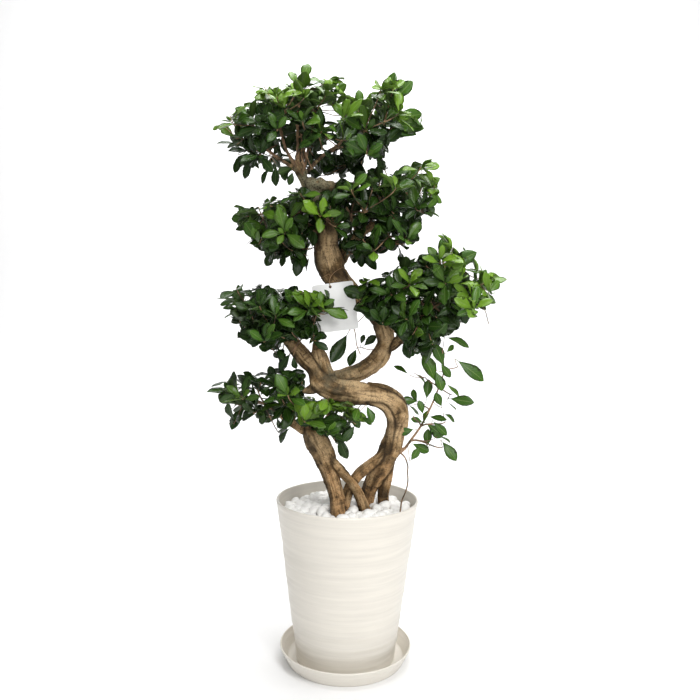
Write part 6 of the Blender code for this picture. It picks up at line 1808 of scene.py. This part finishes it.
def string_path(bark):
    """A loop through the card's hole, over its top and round the trunk just off the bark."""
    middle, right, back, up = card_frame()
    hole = middle + right * TAG_HOLE[0] + up * TAG_HOLE[1]
    points = point_array(bark.data)
    faces = [tuple(face.vertices) for face in bark.data.polygons]
    tree = BVHTree.FromPolygons([tuple(point) for point in points], faces)
    line, radii = placed(STEMS["upper_trunk"])
    centre, axis = line[11], unit(line[12] - line[10])
    across = unit(np.array((1.0, 0.0, 0.0)) - axis * axis[0])
    behind = np.cross(axis, across)
    loop = []
    for turn in np.radians(np.linspace(-66.0, 246.0, 25)):
        outward = across * math.cos(turn) + behind * math.sin(turn)
        hit = tree.ray_cast(Vector(centre + outward * 0.06), Vector(-outward))[0]
        loop.append(np.array(hit) + outward * STRING_OFF)
    step = back * -0.0018
    over = hole + up * 0.009 + step
    knots = np.array([hole - step, hole + step, over, *loop, hole - step + up * 0.006, hole - step])
    return smooth_path(knots, np.full(len(knots), STRING_R), 0.0012)[0]


class BANYAN_OT_tag(bpy.types.Operator):
    """Makes the blank card and the twine that holds it round the trunk"""

    bl_idname = "banyan.tag"
    bl_label = "Tag and string"

    def execute(self, context):
        colours = context.scene.banyan_colours
        card = new_piece("tag_card", card_skin(), [card_material(colours)], smooth=False)
        middle, right, back, up = card_frame()
        punch = new_piece("punch", turned_skin(
            [(0, -0.01), (TAG_HOLE_R, -0.01), (TAG_HOLE_R, 0.01), (0, 0.01)], 24), [])
        place = Matrix.Translation(middle + right * TAG_HOLE[0] + up * TAG_HOLE[1])
        punch.matrix_world = place @ Matrix.Rotation(math.pi / 2, 4, "X")
        cut = card.modifiers.new("hole", "BOOLEAN")
        cut.operation = "DIFFERENCE"
        cut.solver = "MANIFOLD"
        cut.object = punch
        bpy.context.view_layer.update()
        applied(card)
        bpy.data.objects.remove(punch)
        stands_for(card, "card", "tag")
        path = string_path(bpy.data.objects["trunk_bark"])
        skin = tube_skin(path, np.full(len(path), STRING_R), 8)
        string = new_piece("tag_twine", skin, [string_material(colours)])
        turn = np.tile(np.arange(8) / 8.0, len(path))
        run = np.repeat(np.arange(len(path)) * 0.25, 8)
        place = np.concatenate([np.stack([turn, run], -1), [(0.0, 0.0), (0.0, run[-1])]])
        corners = np.empty(len(string.data.loops), np.int32)
        string.data.loops.foreach_get("vertex_index", corners)
        string.data.uv_layers.new(name="twist").data.foreach_set("uv", place[corners].astype(np.float32).ravel())
        stands_for(string, "string", "tag_string")
        return {"FINISHED"}


FLOOR_HALF = 3.0
SWEEP_AT = 1.6
SWEEP_R = 0.9
WALL_TOP = 3.2
LIGHTS = {
    "key": ((1.05, -1.75, 2.3), 1.0, 39.0),
    "fill": ((0.3, -2.5, 1.35), 1.3, 20.0),
    "top": ((0.2, -0.1, 2.6), 1.0, 32.0),
    "wall": ((0.0, 0.9, 2.6), 1.8, 60.0),
}
LIGHT_AIM = {"wall": (0.0, 2.5, 0.9)}
WORLD_TONE = 0.85
WORLD_STRENGTH = 0.36


def stage_skin():
    """Floor and wall as one sheet: flat, then a quarter circle up, then upright."""
    floor = stretch((-FLOOR_HALF, 0.0), (SWEEP_AT, 0.0), 12)
    bend = arc((SWEEP_AT, SWEEP_R), SWEEP_R, -90.0, 0.0, 16)
    profile = np.concatenate([floor, bend, [(SWEEP_AT + SWEEP_R, WALL_TOP)]])
    x = np.linspace(-FLOOR_HALF, FLOOR_HALF, 13)
    points = np.stack(np.broadcast_arrays(x[None], profile[:, :1], profile[:, 1:]), -1)
    rows, columns = len(profile), len(x)
    i, j = np.meshgrid(np.arange(rows - 1), np.arange(columns - 1), indexing="ij")
    quads = np.stack([i * columns + j, i * columns + j + 1, (i + 1) * columns + j + 1, (i + 1) * columns + j], -1)
    return points.reshape(-1, 3), quads.reshape(-1, 4), np.empty((0, 3), int)


class BANYAN_OT_stage(bpy.types.Operator):
    """Sets the pale floor and wall, soft lights and the camera at the photograph's angle"""

    bl_idname = "banyan.stage"
    bl_label = "Studio"

    def execute(self, context):
        scene = context.scene
        backdrop = new_piece("backdrop", stage_skin(), [stage_material(scene.banyan_colours)])
        for name, (place, size, power) in LIGHTS.items():
            lamp = bpy.data.lights.new(name, "AREA")
            lamp.shape = "DISK"
            lamp.size = size
            lamp.energy = power
            holder = bpy.data.objects.new(name, lamp)
            scene.collection.objects.link(holder)
            aim = Vector(LIGHT_AIM.get(name, (0.0, 0.0, 0.6))) - Vector(place)
            holder.matrix_world = Matrix.Translation(place) @ aim.to_track_quat("-Z", "Y").to_matrix().to_4x4()
        world = bpy.data.worlds.new("studio_world")
        world.use_nodes = True
        sky = world.node_tree.nodes["Background"]
        sky.inputs["Color"].default_value = (WORLD_TONE, WORLD_TONE, WORLD_TONE, 1.0)
        sky.inputs["Strength"].default_value = WORLD_STRENGTH
        scene.world = world
        scene.view_settings.view_transform = "Standard"
        lens = bpy.data.cameras.new("photo_camera")
        lens.sensor_width = SENSOR_MM
        lens.sensor_fit = "HORIZONTAL"
        lens.lens = FOCAL_PIXELS / IMAGE_PIXELS * SENSOR_MM
        lens.clip_start = 0.05
        camera = bpy.data.objects.new("photo_camera", lens)
        scene.collection.objects.link(camera)
        down, roll = CAMERA_DOWN, CAMERA_ROLL
        forward = Vector((0.0, math.cos(down), -math.sin(down)))
        level = Vector((1.0, 0.0, 0.0))
        upward = level.cross(forward)
        right = level * math.cos(roll) + upward * math.sin(roll)
        over = upward * math.cos(roll) - level * math.sin(roll)
        turned = Matrix((right, over, -forward)).transposed().to_4x4()
        camera.matrix_world = Matrix.Translation(CAMERA_AT) @ turned
        scene.camera = camera
        return {"FINISHED"}


OPERATORS = (
    BANYAN_OT_stage, BANYAN_OT_saucer, BANYAN_OT_pot, BANYAN_OT_sprays, BANYAN_OT_sprig,
    BANYAN_OT_trunk, BANYAN_OT_pebbles, BANYAN_OT_tag,
)


class BANYAN_PT_panel(bpy.types.Panel):
    """Sizes, colours and pieces of the potted banyan"""

    bl_idname = "BANYAN_PT_panel"
    bl_label = "Potted banyan"
    bl_space_type = "VIEW_3D"
    bl_region_type = "UI"
    bl_category = "Banyan"

    def draw(self, context):
        for operator in OPERATORS:
            self.layout.operator(operator.bl_idname)
        for group in (context.scene.banyan_sizes, context.scene.banyan_colours):
            for name in group.__annotations__:
                self.layout.prop(group, name)


CLASSES = (BanyanSizes, BanyanColours, *OPERATORS, BANYAN_PT_panel)


def register():
    for thing in CLASSES:
        bpy.utils.register_class(thing)
    bpy.types.Scene.banyan_sizes = bpy.props.PointerProperty(type=BanyanSizes)
    bpy.types.Scene.banyan_colours = bpy.props.PointerProperty(type=BanyanColours)


def unregister():
    del bpy.types.Scene.banyan_sizes
    del bpy.types.Scene.banyan_colours
    for thing in reversed(CLASSES):
        bpy.utils.unregister_class(thing)


def main():
    register()
    for operator in OPERATORS:
        group, name = operator.bl_idname.split(".")
        getattr(getattr(bpy.ops, group), name)()


if __name__ == "__main__":
    main()
